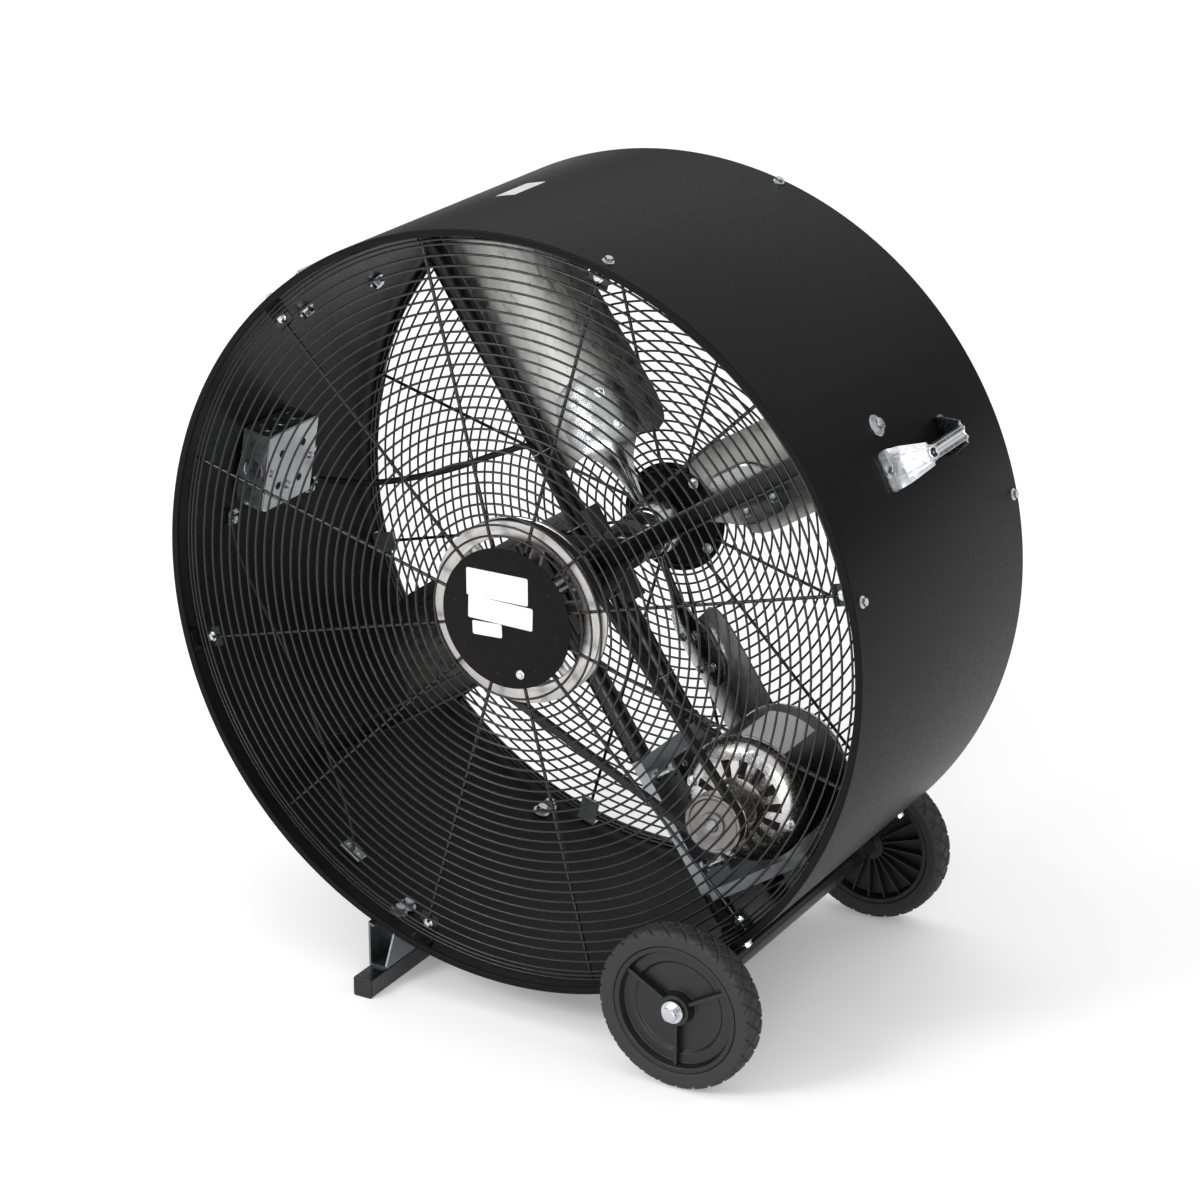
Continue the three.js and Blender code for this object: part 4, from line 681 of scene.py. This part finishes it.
# %% Shell, shaft and label
shell = revolved(oblong(12, 78, depth(128.3), depth(233.7), 1.2, 3), 128)
make_piece("motor_can", on_motor(shell), enamel, "frame", ["motor_shell"])
stub = revolved([(0, depth(37)), (7, depth(37)), (8, depth(38)), (8, depth(243)),
                 (0, depth(243))], 40)
make_piece("motor_stub", on_motor(stub), ground_steel, "motor_rotor",
           ["motor_shaft"])
film = curved_film(78.4, 0.3, (22, 68), 24, depth(131), depth(212))
make_piece("motor_label", on_motor(film), label_film, "frame")
bolts = []
for x in (-46, 46):
    for z in (-46, 46):
        at = spot(MOTOR[0] + x, depth(112), MOTOR[2] + z, LEAN)
        bolts.append(stood(hex_head(9, 6, 8, 1.5), at, [0, -1, 0]))
make_piece("bell_bolts", joined(*bolts), zinc, "frame", sharp=25)

# %% Motor tray and tension studs
dress(folded_steel, "motor_tray")


def nut_stack(y, z):
    """A threaded stud with three hexagon nuts, stood on the tray along the frame's +X."""
    turns = np.linspace(0, 30, 241)
    thread = 4.3 + 0.35 * np.cos(2 * np.pi * turns)
    stud = [(0.0, 0.0)] + list(zip(thread, turns * 1.67)) + [(0.0, 50.4)]
    parts = [upright(revolved(stud, 16))]
    for z0 in (0, 29.6, 41.4):
        points, faces = hex_head(16, 6.6)
        parts.append((points + [0, 0, z0], faces))
    return stood(joined(*parts), spot(-30, y, z, LEAN), spot(1, 0, 0, LEAN, 0))


places = [(depth(206) + side * 38, -320 + end * 62) for side in (-1, 1) for end in (1, -1)]
for index, (y, z) in enumerate(places):
    make_piece(f"tension_bolt_{index + 1}", nut_stack(y, z), zinc, "frame",
               [f"tension_stud_{index + 1}"], sharp=28)

# %% [markdown]
# ## Blades
# Four paddles of 2 mm sheet, pitched and bowed. A point on one is found from its share s
# from root to tip and its share c across: the chord is turned by the pitch, bowed by a
# parabola and laid on a circle of its own radius.


# %% Blade surface
def blade_surface(s, c, lift):
    """radius(s), chord(s), pitch(s); across = c chord cos p + bow sin p; turn = across / r."""
    radius = 122 + s * (446 - 122)
    swell = np.sin(0.5 * np.pi * np.minimum(1, s * 1.5))
    chord = 166 + swell * (152 - 166)
    pitch = np.radians(33 - 5 * s)
    bow = 0.1 * chord * (1 - 4 * c * c) + lift
    across = c * chord * np.cos(pitch) + bow * np.sin(pitch)
    along = c * chord * np.sin(pitch) - bow * np.cos(pitch)
    turn = across / radius - s * np.radians(2)
    return np.stack([radius * np.sin(turn), along, radius * np.cos(turn)], -1)


def sheet(surface, rows, columns, thick):
    """Two faces of a surface(s, c, lift), joined round their edges into a closed sheet."""
    s = np.linspace(0, 1, rows)[:, None]
    around = np.concatenate([np.linspace(-0.5, 0.5, columns), np.linspace(0.5, -0.5, columns)])
    side = np.concatenate([np.full(columns, thick / 2), np.full(columns, -thick / 2)])
    points = surface(s, np.broadcast_to(around, (rows, 2 * columns)),
                     np.broadcast_to(side, (rows, 2 * columns)))
    faces = grid_faces(rows, 2 * columns)
    n, last = 2 * columns, (rows - 1) * 2 * columns
    for first in (0, last):
        faces += [[first + j, first + j + 1, first + n - 2 - j, first + n - 1 - j]
                  for j in range(columns - 1)]
    return points.reshape(-1, 3), faces


def trimmed_blade(s, c, lift):
    """The blade with its corners rounded: the chord narrows as a circle at both ends."""
    ends = np.minimum(np.minimum(s / 0.14, 1), np.minimum((1 - s) / 0.07, 1))
    narrow = 1 - 0.24 * (1 - np.sqrt(1 - (1 - ends) ** 2))
    return blade_surface(s, c * narrow, lift)


FAN_Y = depth(372)
for index in range(4):
    part = placed(sheet(trimmed_blade, 40, 20, 2.0), -31 + 90 * index, AXIS + [0, FAN_Y, 0])
    make_piece(f"fan_blade_{index + 1}", part, mill_sheet, "fan_rotor",
               [f"blade_{index + 1}"])


# %% Blade irons and hub
def iron_surface(s, c, lift):
    """A pressed arm under the blade: narrow at the hub, a wide pad, a rib down its middle."""
    radius = 26 + s * 184
    width = 34 + 58 * np.clip((radius - 70) / 70, 0, 1) ** 1.5
    width = width * np.sqrt(np.clip(1 - np.clip((radius - 175) / 36, 0, 1) ** 2, 0.02, 1))
    rib = 5 * np.exp(-(c / 0.16) ** 2) * np.clip(1 - (radius - 60) / 80, 0, 1)
    share = np.maximum((radius - 122) / (446 - 122), 0)
    place = blade_surface(share, c * width / 166, 4.6 - lift + rib)
    scale = radius / np.hypot(place[..., 0], place[..., 2])
    return place * np.stack([scale, np.minimum(1, scale), scale], -1)


irons, pads = [], []
for index in range(4):
    irons.append(placed(sheet(iron_surface, 36, 18, 3.5), -31 + 90 * index))
    for s, c in ((0.62, -0.22), (0.62, 0.22), (0.86, -0.2), (0.86, 0.2)):
        at = iron_surface(np.array(s), np.array(c), np.array(-1.8))
        near = iron_surface(np.array(s), np.array(c), np.array(-2.8))
        turned, _ = placed((np.stack([at, near]), []), -31 + 90 * index, AXIS + [0, FAN_Y, 0])
        pads.append(stood(hex_head(9, 2.5, 6.5, 1), turned[0], turned[1] - turned[0]))
hub = revolved(rounded([(10.4, -22), (30, -22), (34, -18), (34, 18), (30, 22), (10.4, 22)],
                       1.5, 3), 64)
spider = joined(hub, *[(p - AXIS, f) for p, f in irons])
make_piece("iron_spider", (spider[0] + AXIS + [0, FAN_Y, 0], spider[1]), polished,
           "fan_rotor", ["blade_hub"])
make_piece("iron_rivets", joined(*pads), zinc, "fan_rotor", sharp=25)

# %% [markdown]
# ## Box and cable
# The wiring box is a folded galvanised box with knockouts. The motor's cable leaves it for
# a clip on the wall, crosses to the rear tube, and follows the tube down to the motor.

# %% Electrical box
seat, side = 459.0, 51.0
lid = seat - 40
BOX_TURN, BOX_Y = -80, depth(180)


def box_part(x0, x1, y0, y1, z0, z1, corner=3.0):
    """A folded box: its square plan has small round corners and runs from z0 to z1."""
    return upright(extruded(oblong(x0, x1, y0, y1, corner), z0, z1, 0.6))


for name, z0, z1, node in (("wiring_box", lid, seat, "electrical_box"),
                           ("wiring_box_cover", lid - 2.3, lid - 0.3, "box_cover")):
    part = box_part(-side, side, BOX_Y - side, BOX_Y + side, z0, z1)
    make_piece(name, placed(part, BOX_TURN), galvanised, "frame", [node])


def on_box(local, normal, part):
    """Stands a part on the box: place and direction are given in the box's own axes."""
    return stood(part, spot(*local, BOX_TURN), spot(*normal, BOX_TURN, 0))


def knockout(across):
    """A punched blank: a ring groove stands for the cut, so the disc sits a little proud."""
    r = across / 2
    return upright(revolved(rounded([(0, 0), (r, 0), (r, 0.5), (r - 1.2, 0.5), (r - 1.6, 0.1),
                                     (0, 0.1)], 0.15, 2), 48))


marks, holes, screws = [], [], []
for y in (-28, 0, 28):
    marks.append(on_box([side + 0.05, BOX_Y + y, seat - 20], [1, 0, 0], knockout(22)))
marks.append(on_box([0, BOX_Y - side - 0.05, seat - 20], [0, -1, 0], knockout(28)))
# The lid's holes are near-black discs of painted shade.
for x, y in ((-22, -24), (22, -24), (-24, 22), (24, 22)):
    holes.append(on_box([x, BOX_Y + y, lid - 2.35], [0, 0, -1], hex_head(9, 0.5)))
for y in (-42, 42):
    screws.append(on_box([0, BOX_Y + y, lid - 2.3], [0, 0, -1], hex_head(7, 2.6, 5, 0.8)))
screws.append(on_box([-26, BOX_Y - 4, lid - 2.3], [0, 0, -1], hex_head(8, 4, 6, 1)))
# The cable leaves through a steel bushing with a lock nut.
for across, height, start in ((25, 4, 0), (19, 11, 4)):
    screws.append(on_box([0, BOX_Y + side + start, seat - 26], [0, 1, 0],
                         hex_head(across, height)))
make_piece("box_knockouts", joined(*marks), zinc, "frame", sharp=28)
make_piece("box_holes", joined(*holes), hole_shade_paint, "frame", sharp=28)
make_piece("box_screws", joined(*screws), zinc, "frame", sharp=25)

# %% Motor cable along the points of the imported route
inner = (DRUM - wall) * math.cos(math.pi / 60)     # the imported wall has 60 flats


def on_wall(radius, degrees, y):
    """A place on the wall, in the leaning frame."""
    return radius * outward(degrees - LEAN) + [0, y, 0]


box_end = BOX_Y + 51.3
clamp = on_wall(inner - 9, -88.5, depth(290))
beside = depth(308) - 13.5 - 4.3
tie = [TUBE_X, beside, 152]


def on_run(share, lift):
    """A point on the free run from the clamp to the tie, lifted off the straight line."""
    return clamp + share * (np.array(tie) - clamp) + [0, 10 * (1 - share), lift * 10]


def entry(distance_out):
    """A point on the cable's way into the motor, square to the shell."""
    return MOTOR + [-0.6 * distance_out, depth(94) + 168 * 0.71, 0.8 * distance_out]


route = through([
    on_wall(inner - 26, -80, box_end), on_wall(inner - 26, -80, box_end + 15),
    on_wall(inner - 9, -88.5, depth(290) - 30), clamp,
    on_run(0.23, -1.5), on_run(0.56, -1), on_run(0.87, 0.7),
    [TUBE_X - 4, beside, 164], tie, [TUBE_X, beside, 137],
    [TUBE_X, beside, -171], [TUBE_X, beside, -186], [TUBE_X + 4, beside - 4, -201],
    [-33.3, beside - 15, -216], [7.5, (beside + entry(0)[1]) / 2, -216],
    [30, entry(0)[1] + 4, -227], entry(92.8), entry(78.2),
], 220)
cable = swept(route, circle(4, 16), upright=(0.2, 1.0, 0.1))
make_piece("motor_lead", placed(cable, LEAN), jacket, "frame",
           ["motor_cable"])

# %% Clips, ties and the thin lead
def loop_band(centre, reach_x, reach_y, turned, wide=5.0, thick=1.2):
    """A band round a bundle: an oval loop in its own plane, swept with a flat section."""
    t = np.linspace(0, 2 * np.pi, 40, endpoint=False)
    flat = np.stack([reach_x * np.cos(t), reach_y * np.sin(t), 0 * t], -1)
    section = oblong(-thick / 2, thick / 2, -wide / 2, wide / 2, 0.4, 2)
    return swept(flat @ np.array(turned, float) + centre, section, closed=True)


ties = [loop_band([TUBE_X, depth(308) - 4.5, z], 15.2, 18.6, np.eye(3))
        for z in (150, 48, -48, -164)]
make_piece("cable_ties", placed(joined(*ties), LEAN), nylon, "frame")
clips = []
along_y = [[1, 0, 0], [0, 0, 1], [0, 1, 0]]
for degrees, y, reach in ((-88.5, depth(290), 5.6), (-87.4, depth(120), 3.4)):
    hold = inner - 9 if reach > 5 else inner - 6
    band = loop_band([0, y, hold], reach, reach, along_y, 12, 1.2)
    tab = extruded(oblong(-18, 0, inner - 2.2, inner - 0.8, 0.5), y - 6, y + 6, 0.2)
    nut = stood(hex_head(10, 5, 7, 1.2), [-11, y, inner - 2], [0, 0, -1])
    clips.append(placed(joined(band, tab, nut), degrees))
make_piece("wall_clips", joined(*clips), zinc, "frame", sharp=28)
start = spot(-side - 0.5, depth(140), seat - 14, BOX_TURN, 0)
near = spot(0, depth(120), inner - 6, -87.4, 0)
end = spot(0, depth(73), inner - 5, -145.5, 0)
sag = (near + end) / 2 * np.array([0.99, 1, 0.99]) + [0, 3, 0]
lead = through([start, (start + near) / 2 + [3, 0, -2], near, near + [4, -6, -40],
                sag, end + [-6, 3, 34], end], 120)
make_piece("thin_lead", placed(swept(lead, circle(1.7, 10), upright=(0.3, 0.2, 1.0)), 0),
           jacket, "frame")
bracket = extruded(oblong(-16, 16, inner - 4.5, inner - 0.8, 1.2), depth(64), depth(86), 0.5)
pair = [stood(hex_head(9, 4, 6, 1), [x, depth(75), inner - 4.5], [0, 0, -1]) for x in (-9, 9)]
make_piece("lead_bracket", placed(joined(bracket, *pair), -145.5), galvanised, "frame",
           sharp=28)
# Nuts inside the wall: the handles' bolts and the foot's.
nuts = []
for angle, y in ((-52, depth(156)), (-52, depth(310)), (63.3, depth(156)), (63.3, depth(310)),
                 (57, depth(177)), (-38.8, depth(308)), (-158, depth(40)), (-158, depth(60)),
                 (-158, depth(384)), (-158, depth(404))):
    at, normal = on_drum(angle, y, inner - 0.6)
    nuts.append(stood(hex_head(13, 8, 11, 1.6), at, -np.asarray(normal)))
make_piece("wall_nuts", joined(*nuts), zinc, "frame", sharp=28)

# %% [markdown]
# ## Handles
# Each pull handle is one zinc-plated strip: a bolted foot, a leg that narrows as it rises,
# and a grip whose two edges are turned down so that they don't cut the hand.


# %% Lift handles
def handle_surface(s, c, lift):
    """A strip along a polyline with round bends; its width and its turned edges follow s."""
    stations = [0, .1, .15, .2, .3, .35, .4, .6, .65, .7, .8, .85, .9, 1]
    y = np.interp(s, stations, [-85, -70, -67.5, -61, -46, -42, -35, 35, 42, 46, 61, 67.5, 70, 85])
    z = np.interp(s, stations, [0, 0, 1.5, 11, 38, 43.5, 45, 45, 43.5, 38, 11, 1.5, 0, 0])
    width = np.interp(s, [0, .03, .14, .2, .34, .66, .8, .86, .97, 1],
                      [43, 48, 48, 44, 21, 21, 44, 48, 48, 43])
    grip = np.interp(s, [.3, .38, .62, .7], [0, 1, 1, 0])
    leg = np.interp(s, [.14, .18, .3, .36, .64, .7, .82, .86], [0, 1, 1, 0, 0, 1, 1, 0])
    edge = np.clip((np.abs(c) - 0.36) / 0.14, 0, 1)
    x = np.sign(c) * np.minimum(np.abs(c), 0.5 - 0.12 * grip) * width
    groove = grip * 1.6 * np.exp(-(c / 0.1) ** 2)
    rise = 1.4 + z - grip * edge ** 2 * 9 - groove + leg * (edge * 2.2)
    panel = leg * 0.9 * (np.abs(c) < 0.26)
    return np.stack([x, y + 0 * c, rise - panel + lift], -1)


def on_handle(part, angle):
    """Stands a part made at the handle's own middle on the drum at an angle."""
    return placed((part[0] + [0, depth(233), DRUM], part[1]), angle)


ring = np.linspace(0, 2 * np.pi, 40, endpoint=False)
for name, angle in HANDLES:
    part = sheet(handle_surface, 150, 28, 2.2)
    make_piece(name + "_pressing", on_handle(part, angle), zinc, "frame",
               [name], sharp=32)
    # The bend at each end of the grip is pierced: a near-black oval of painted shade stands for
    # the hole, inside a bright rolled edge.
    ovals, rims = [], []
    for middle in (0.345, 0.655):
        level = np.array([0.25, 0.7, 1.0])[:, None]
        s, c = middle + 0.033 * level * np.cos(ring), 0.3 * level * np.sin(ring)
        inside = handle_surface(s, c, np.full_like(s, 1.5))
        under = handle_surface(s, c, np.full_like(s, 0.9))
        both = np.stack([inside[0], inside[1], inside[2], under[2], under[0]]).reshape(-1, 3)
        ovals.append((both, grid_faces(5, 40, wrap_rows=True)))
        rims.append(swept(inside[2], circle(0.9, 8), closed=True))
    make_piece(name + "_slots", on_handle(joined(*ovals), angle), hole_shade_paint, "frame")
    make_piece(name + "_rims", on_handle(joined(*rims), angle), zinc, "frame")

# %% [markdown]
# ## Foot
# A square tube on the floor, closed by plastic caps and held by two folded brackets.

# %% Foot tube, caps and brackets
square = oblong(-12.7, 12.7, 0, 25.4, 2.6) + [FOOT_X, 0]
make_piece("square_foot", extruded(square, -259.5, 259.5, 0.4), enamel, "frame",
           ["foot_tube"])
for name, y0, y1 in (("foot_cap_front", -263, -260.3), ("foot_cap_rear", 260.3, 263)):
    make_piece(name + "_moulding", extruded(square, y0, y1, 0.8), moulded, "frame",
               [name])
# The brackets take the darker copy of the strip finish: painted shade under the drum.
dress(shaded_strip_paint, "foot_bracket_front", "foot_bracket_rear")

# %% [markdown]
# ## Wheels
# Solid rubber tyres with a diamond tread on moulded centres with three ribs. The tread is
# a height on the tyre's grid: two families of slanting grooves that cross.


# %% Tyre and rim
def tyre(y0, y1):
    """Radius plus tread: blocks stand 2 mm between grooves at +-angle, on the crown only."""
    profile = rounded([(79.3, y0 + 2), (93, y0), (98.6, y0 + 3), (100.6, y0 + 9),
                       (100.6, y1 - 9), (98.6, y1 - 3), (93, y1), (79.3, y1 - 2)], 3, 4)
    count = len(profile)
    t = np.linspace(0, 1, count * 4, endpoint=False) * count
    low = np.floor(t).astype(int)
    mix = (t - low)[:, None]
    fine = profile[low % count] * (1 - mix) + profile[(low + 1) % count] * mix
    a = np.linspace(0, 2 * np.pi, 540, endpoint=False)
    mid = (y0 + y1) / 2
    across = (fine[:, 1:] - mid) / (y1 - y0)
    waves = 27 * a[None, :]
    groove_a = np.abs(np.sin(waves / 2 + across * 5.2))
    groove_b = np.abs(np.sin(waves / 2 - across * 5.2))
    deep = np.clip(0.36 - np.minimum(groove_a, groove_b), 0, 0.2) / 0.2
    crown = np.clip((fine[:, :1] - 93.5) / 3.5, 0, 1)
    radius = fine[:, :1] - 2.4 * deep * crown
    points = np.stack([radius * np.sin(a), np.repeat(fine[:, 1:], len(a), 1),
                       radius * np.cos(a)], -1)
    return points.reshape(-1, 3), grid_faces(len(fine), len(a), wrap_rows=True)


def rim_part(y0, y1):
    """The moulded centre: a boss, a dished web with a step, and the seat of the tyre."""
    mid = (y0 + y1) / 2
    return revolved(rounded([
        (8.4, y0 + 2), (19, y0 + 2), (20.5, mid - 2.5), (55, mid - 2.5), (58, mid - 6),
        (70, mid - 6), (73, y0 + 3), (79, y0 + 2.5), (79, y1 - 2.5), (73, y1 - 3),
        (71, mid + 3), (20.5, mid + 2.5), (19, y1 - 2), (8.4, y1 - 2)], 1.4, 3), 144)


def wheel(prefix, side):
    """side -1 has its dressed face towards the intake; +1 is the same wheel turned round."""
    parts = {"tyre": tyre(-18.5, 18.5)}
    ribs = [rim_part(-18.5, 18.5)]
    for angle in (60, 180, 300):
        t = np.linspace(17, 72, 6)[:, None]
        ribs.append(swept(t * outward(angle) + [0, -7, 0], oblong(-2.4, 2.4, -5.5, 5.5, 1)))
    for angle in np.arange(20) * 18:
        t = np.linspace(18, 74, 4)[:, None]
        ribs.append(swept(t * outward(angle) + [0, 7.5, 0],
                          [(-1.1, -6), (1.1, -6), (1.1, 6), (-1.1, 6)]))
    parts["rim"] = joined(*ribs)
    flip = np.array([1.0, -side, 1.0])
    centre = WHEEL + [0, side * 259, 0]
    for kind, material, slot_name in (("tyre", tyre_rubber, "tyre_rubber"),
                                      ("rim", moulded, "wheel_plastic")):
        points, faces = parts[kind]
        make_piece(f"{prefix}_{kind}_moulding", (points * flip + centre, faces), material,
                   prefix, [f"{prefix}_{kind}"], sharp=30)


wheel("front_wheel", -1)
wheel("rear_wheel", 1)

# %% Axle, its tube and end nuts
rod = revolved([(0, -278), (8, -278), (8, 278), (0, 278)], 40)
ends = [rod]
for side in (-1, 1):
    ends.append(stood(hex_head(17, 8, 14, 2.4), [0, side * 277.9, 0], [0, side, 0]))
axle = joined(*ends)
make_piece("axle_rod", (axle[0] + WHEEL, axle[1]), zinc, "frame", ["axle"], sharp=28)
pipe = revolved(oblong(8.4, 12, -221.8, 221.8, 0.6, 2), 48)
make_piece("axle_pipe", (pipe[0] + WHEEL, pipe[1]), enamel, "frame",
           ["axle_tube"])

# %% [markdown]
# ## Bolts through the drum
# The arms, tubes, handles and box are all held by bolts whose heads show on the outside.

# %% Drum fasteners
bolts = []
on_handles = [(angle, depth(233) + end * 77, 12, 0) for _, angle in HANDLES for end in (-1, 1)]
for angle, y, across, washer in (
        (57, depth(177), 13, 13), (-131.8, depth(177), 13, 13), *on_handles,
        (-38.8, depth(308), 10, 8), (-80, depth(150), 8, 6), (-80, depth(210), 8, 6)):
    on_strip = 0.0 if washer else 2.5
    at, normal = on_drum(angle, y, DRUM + on_strip)
    tall = 6.5 if across > 8 else 3.5
    bolts.append(stood(hex_head(across, tall, washer or across * 0.66, 1.6), at, normal))
make_piece("drum_bolts", joined(*bolts), zinc, "frame", sharp=25)

# %% [markdown]
# ## The drum's label
# A small pale label near the mouth, on top of the drum, is left bare.

# %% Label on the drum
film = curved_film(465.25, 0.35, (-13.4, -10.1), 12, depth(181), depth(251))
make_piece("drum_label", placed(film), label_film, "frame")

# %% [markdown]
# ## The studio
# The fan stands on white paper. Black gloss shows its room: a pale ceiling, a darker band at
# eye level and the white floor, so the world changes with height instead of being one white.

# %% Floor
floor_mesh = bpy.data.meshes.new("floor")
floor_mesh.from_pydata([(-30, -30, 0), (30, -30, 0), (30, 30, 0), (-30, 30, 0)], [],
                       [(0, 1, 2, 3)])
floor = bpy.data.objects.new("floor", floor_mesh)
bpy.context.scene.collection.objects.link(floor)
paper, tree, shader = new_material("white_paper", Base_Color=linear("#f4f4f4"),
                                   Roughness=0.9, IOR=1.3)
rays = add(tree, "ShaderNodeLightPath")
seen = add(tree, "ShaderNodeMath", {0: rays.outputs["Is Camera Ray"],
                                    1: rays.outputs["Is Glossy Ray"]}, operation="MAXIMUM")
seen = add(tree, "ShaderNodeMath", {0: seen.outputs[0],
                                    1: rays.outputs["Is Transmission Ray"]}, operation="MAXIMUM")
glow = add(tree, "ShaderNodeMath", {0: seen.outputs[0], 1: 0.2}, operation="MULTIPLY")
shader.inputs["Emission Color"].default_value = (1, 1, 1, 1)
tree.links.new(glow.outputs[0], shader.inputs["Emission Strength"])
floor_mesh.materials.append(paper)

# %% World
world = bpy.data.worlds.new("studio_room")
bpy.context.scene.world = world
world.use_nodes = True
tree = world.node_tree
sky = tree.nodes["Background"]
sky.inputs["Color"].default_value = (1, 1, 1, 1)
way = add(tree, "ShaderNodeTexCoord")
axes = add(tree, "ShaderNodeSeparateXYZ", {"Vector": way.outputs["Generated"]})
ceiling = add(tree, "ShaderNodeMapRange", {
    "Value": axes.outputs["Z"], "From Min": 0.08, "From Max": 0.5,
    "To Min": 0.08, "To Max": 1.0}, interpolation_type="SMOOTHSTEP")
front_wall = add(tree, "ShaderNodeMapRange", {
    "Value": axes.outputs["Y"], "From Min": 0.0, "From Max": -0.7,
    "To Min": 0.0, "To Max": 0.35}, interpolation_type="SMOOTHSTEP")
room = add(tree, "ShaderNodeMath", {0: ceiling.outputs[0], 1: front_wall.outputs[0]},
           operation="MAXIMUM")
rays = add(tree, "ShaderNodeLightPath")
shown = add(tree, "ShaderNodeMath", {0: room.outputs[0], 1: rays.outputs["Is Camera Ray"]},
            operation="MAXIMUM")
tree.links.new(shown.outputs[0], sky.inputs["Strength"])


# %% Lamps
def lamp(name, place, aim, size, watts):
    """A square soft lamp at a place, turned to face a point, both in metres."""
    light = bpy.data.lights.new(name, "AREA")
    light.size, light.energy = size, watts
    holder = bpy.data.objects.new(name, light)
    direction = np.array(aim, float) - np.array(place, float)
    holder.location = place
    holder.rotation_euler = Vector(direction).to_track_quat("-Z", "Y").to_euler()
    bpy.context.scene.collection.objects.link(holder)


lamp("key", (-1.6, -3.4, 2.6), (0, 0, 0.5), 1.3, 75)
lamp("low_front", (1.5, -3.6, 0.9), (0, 0.1, 0.5), 0.9, 38)
bpy.context.scene.view_settings.view_transform = "Standard"
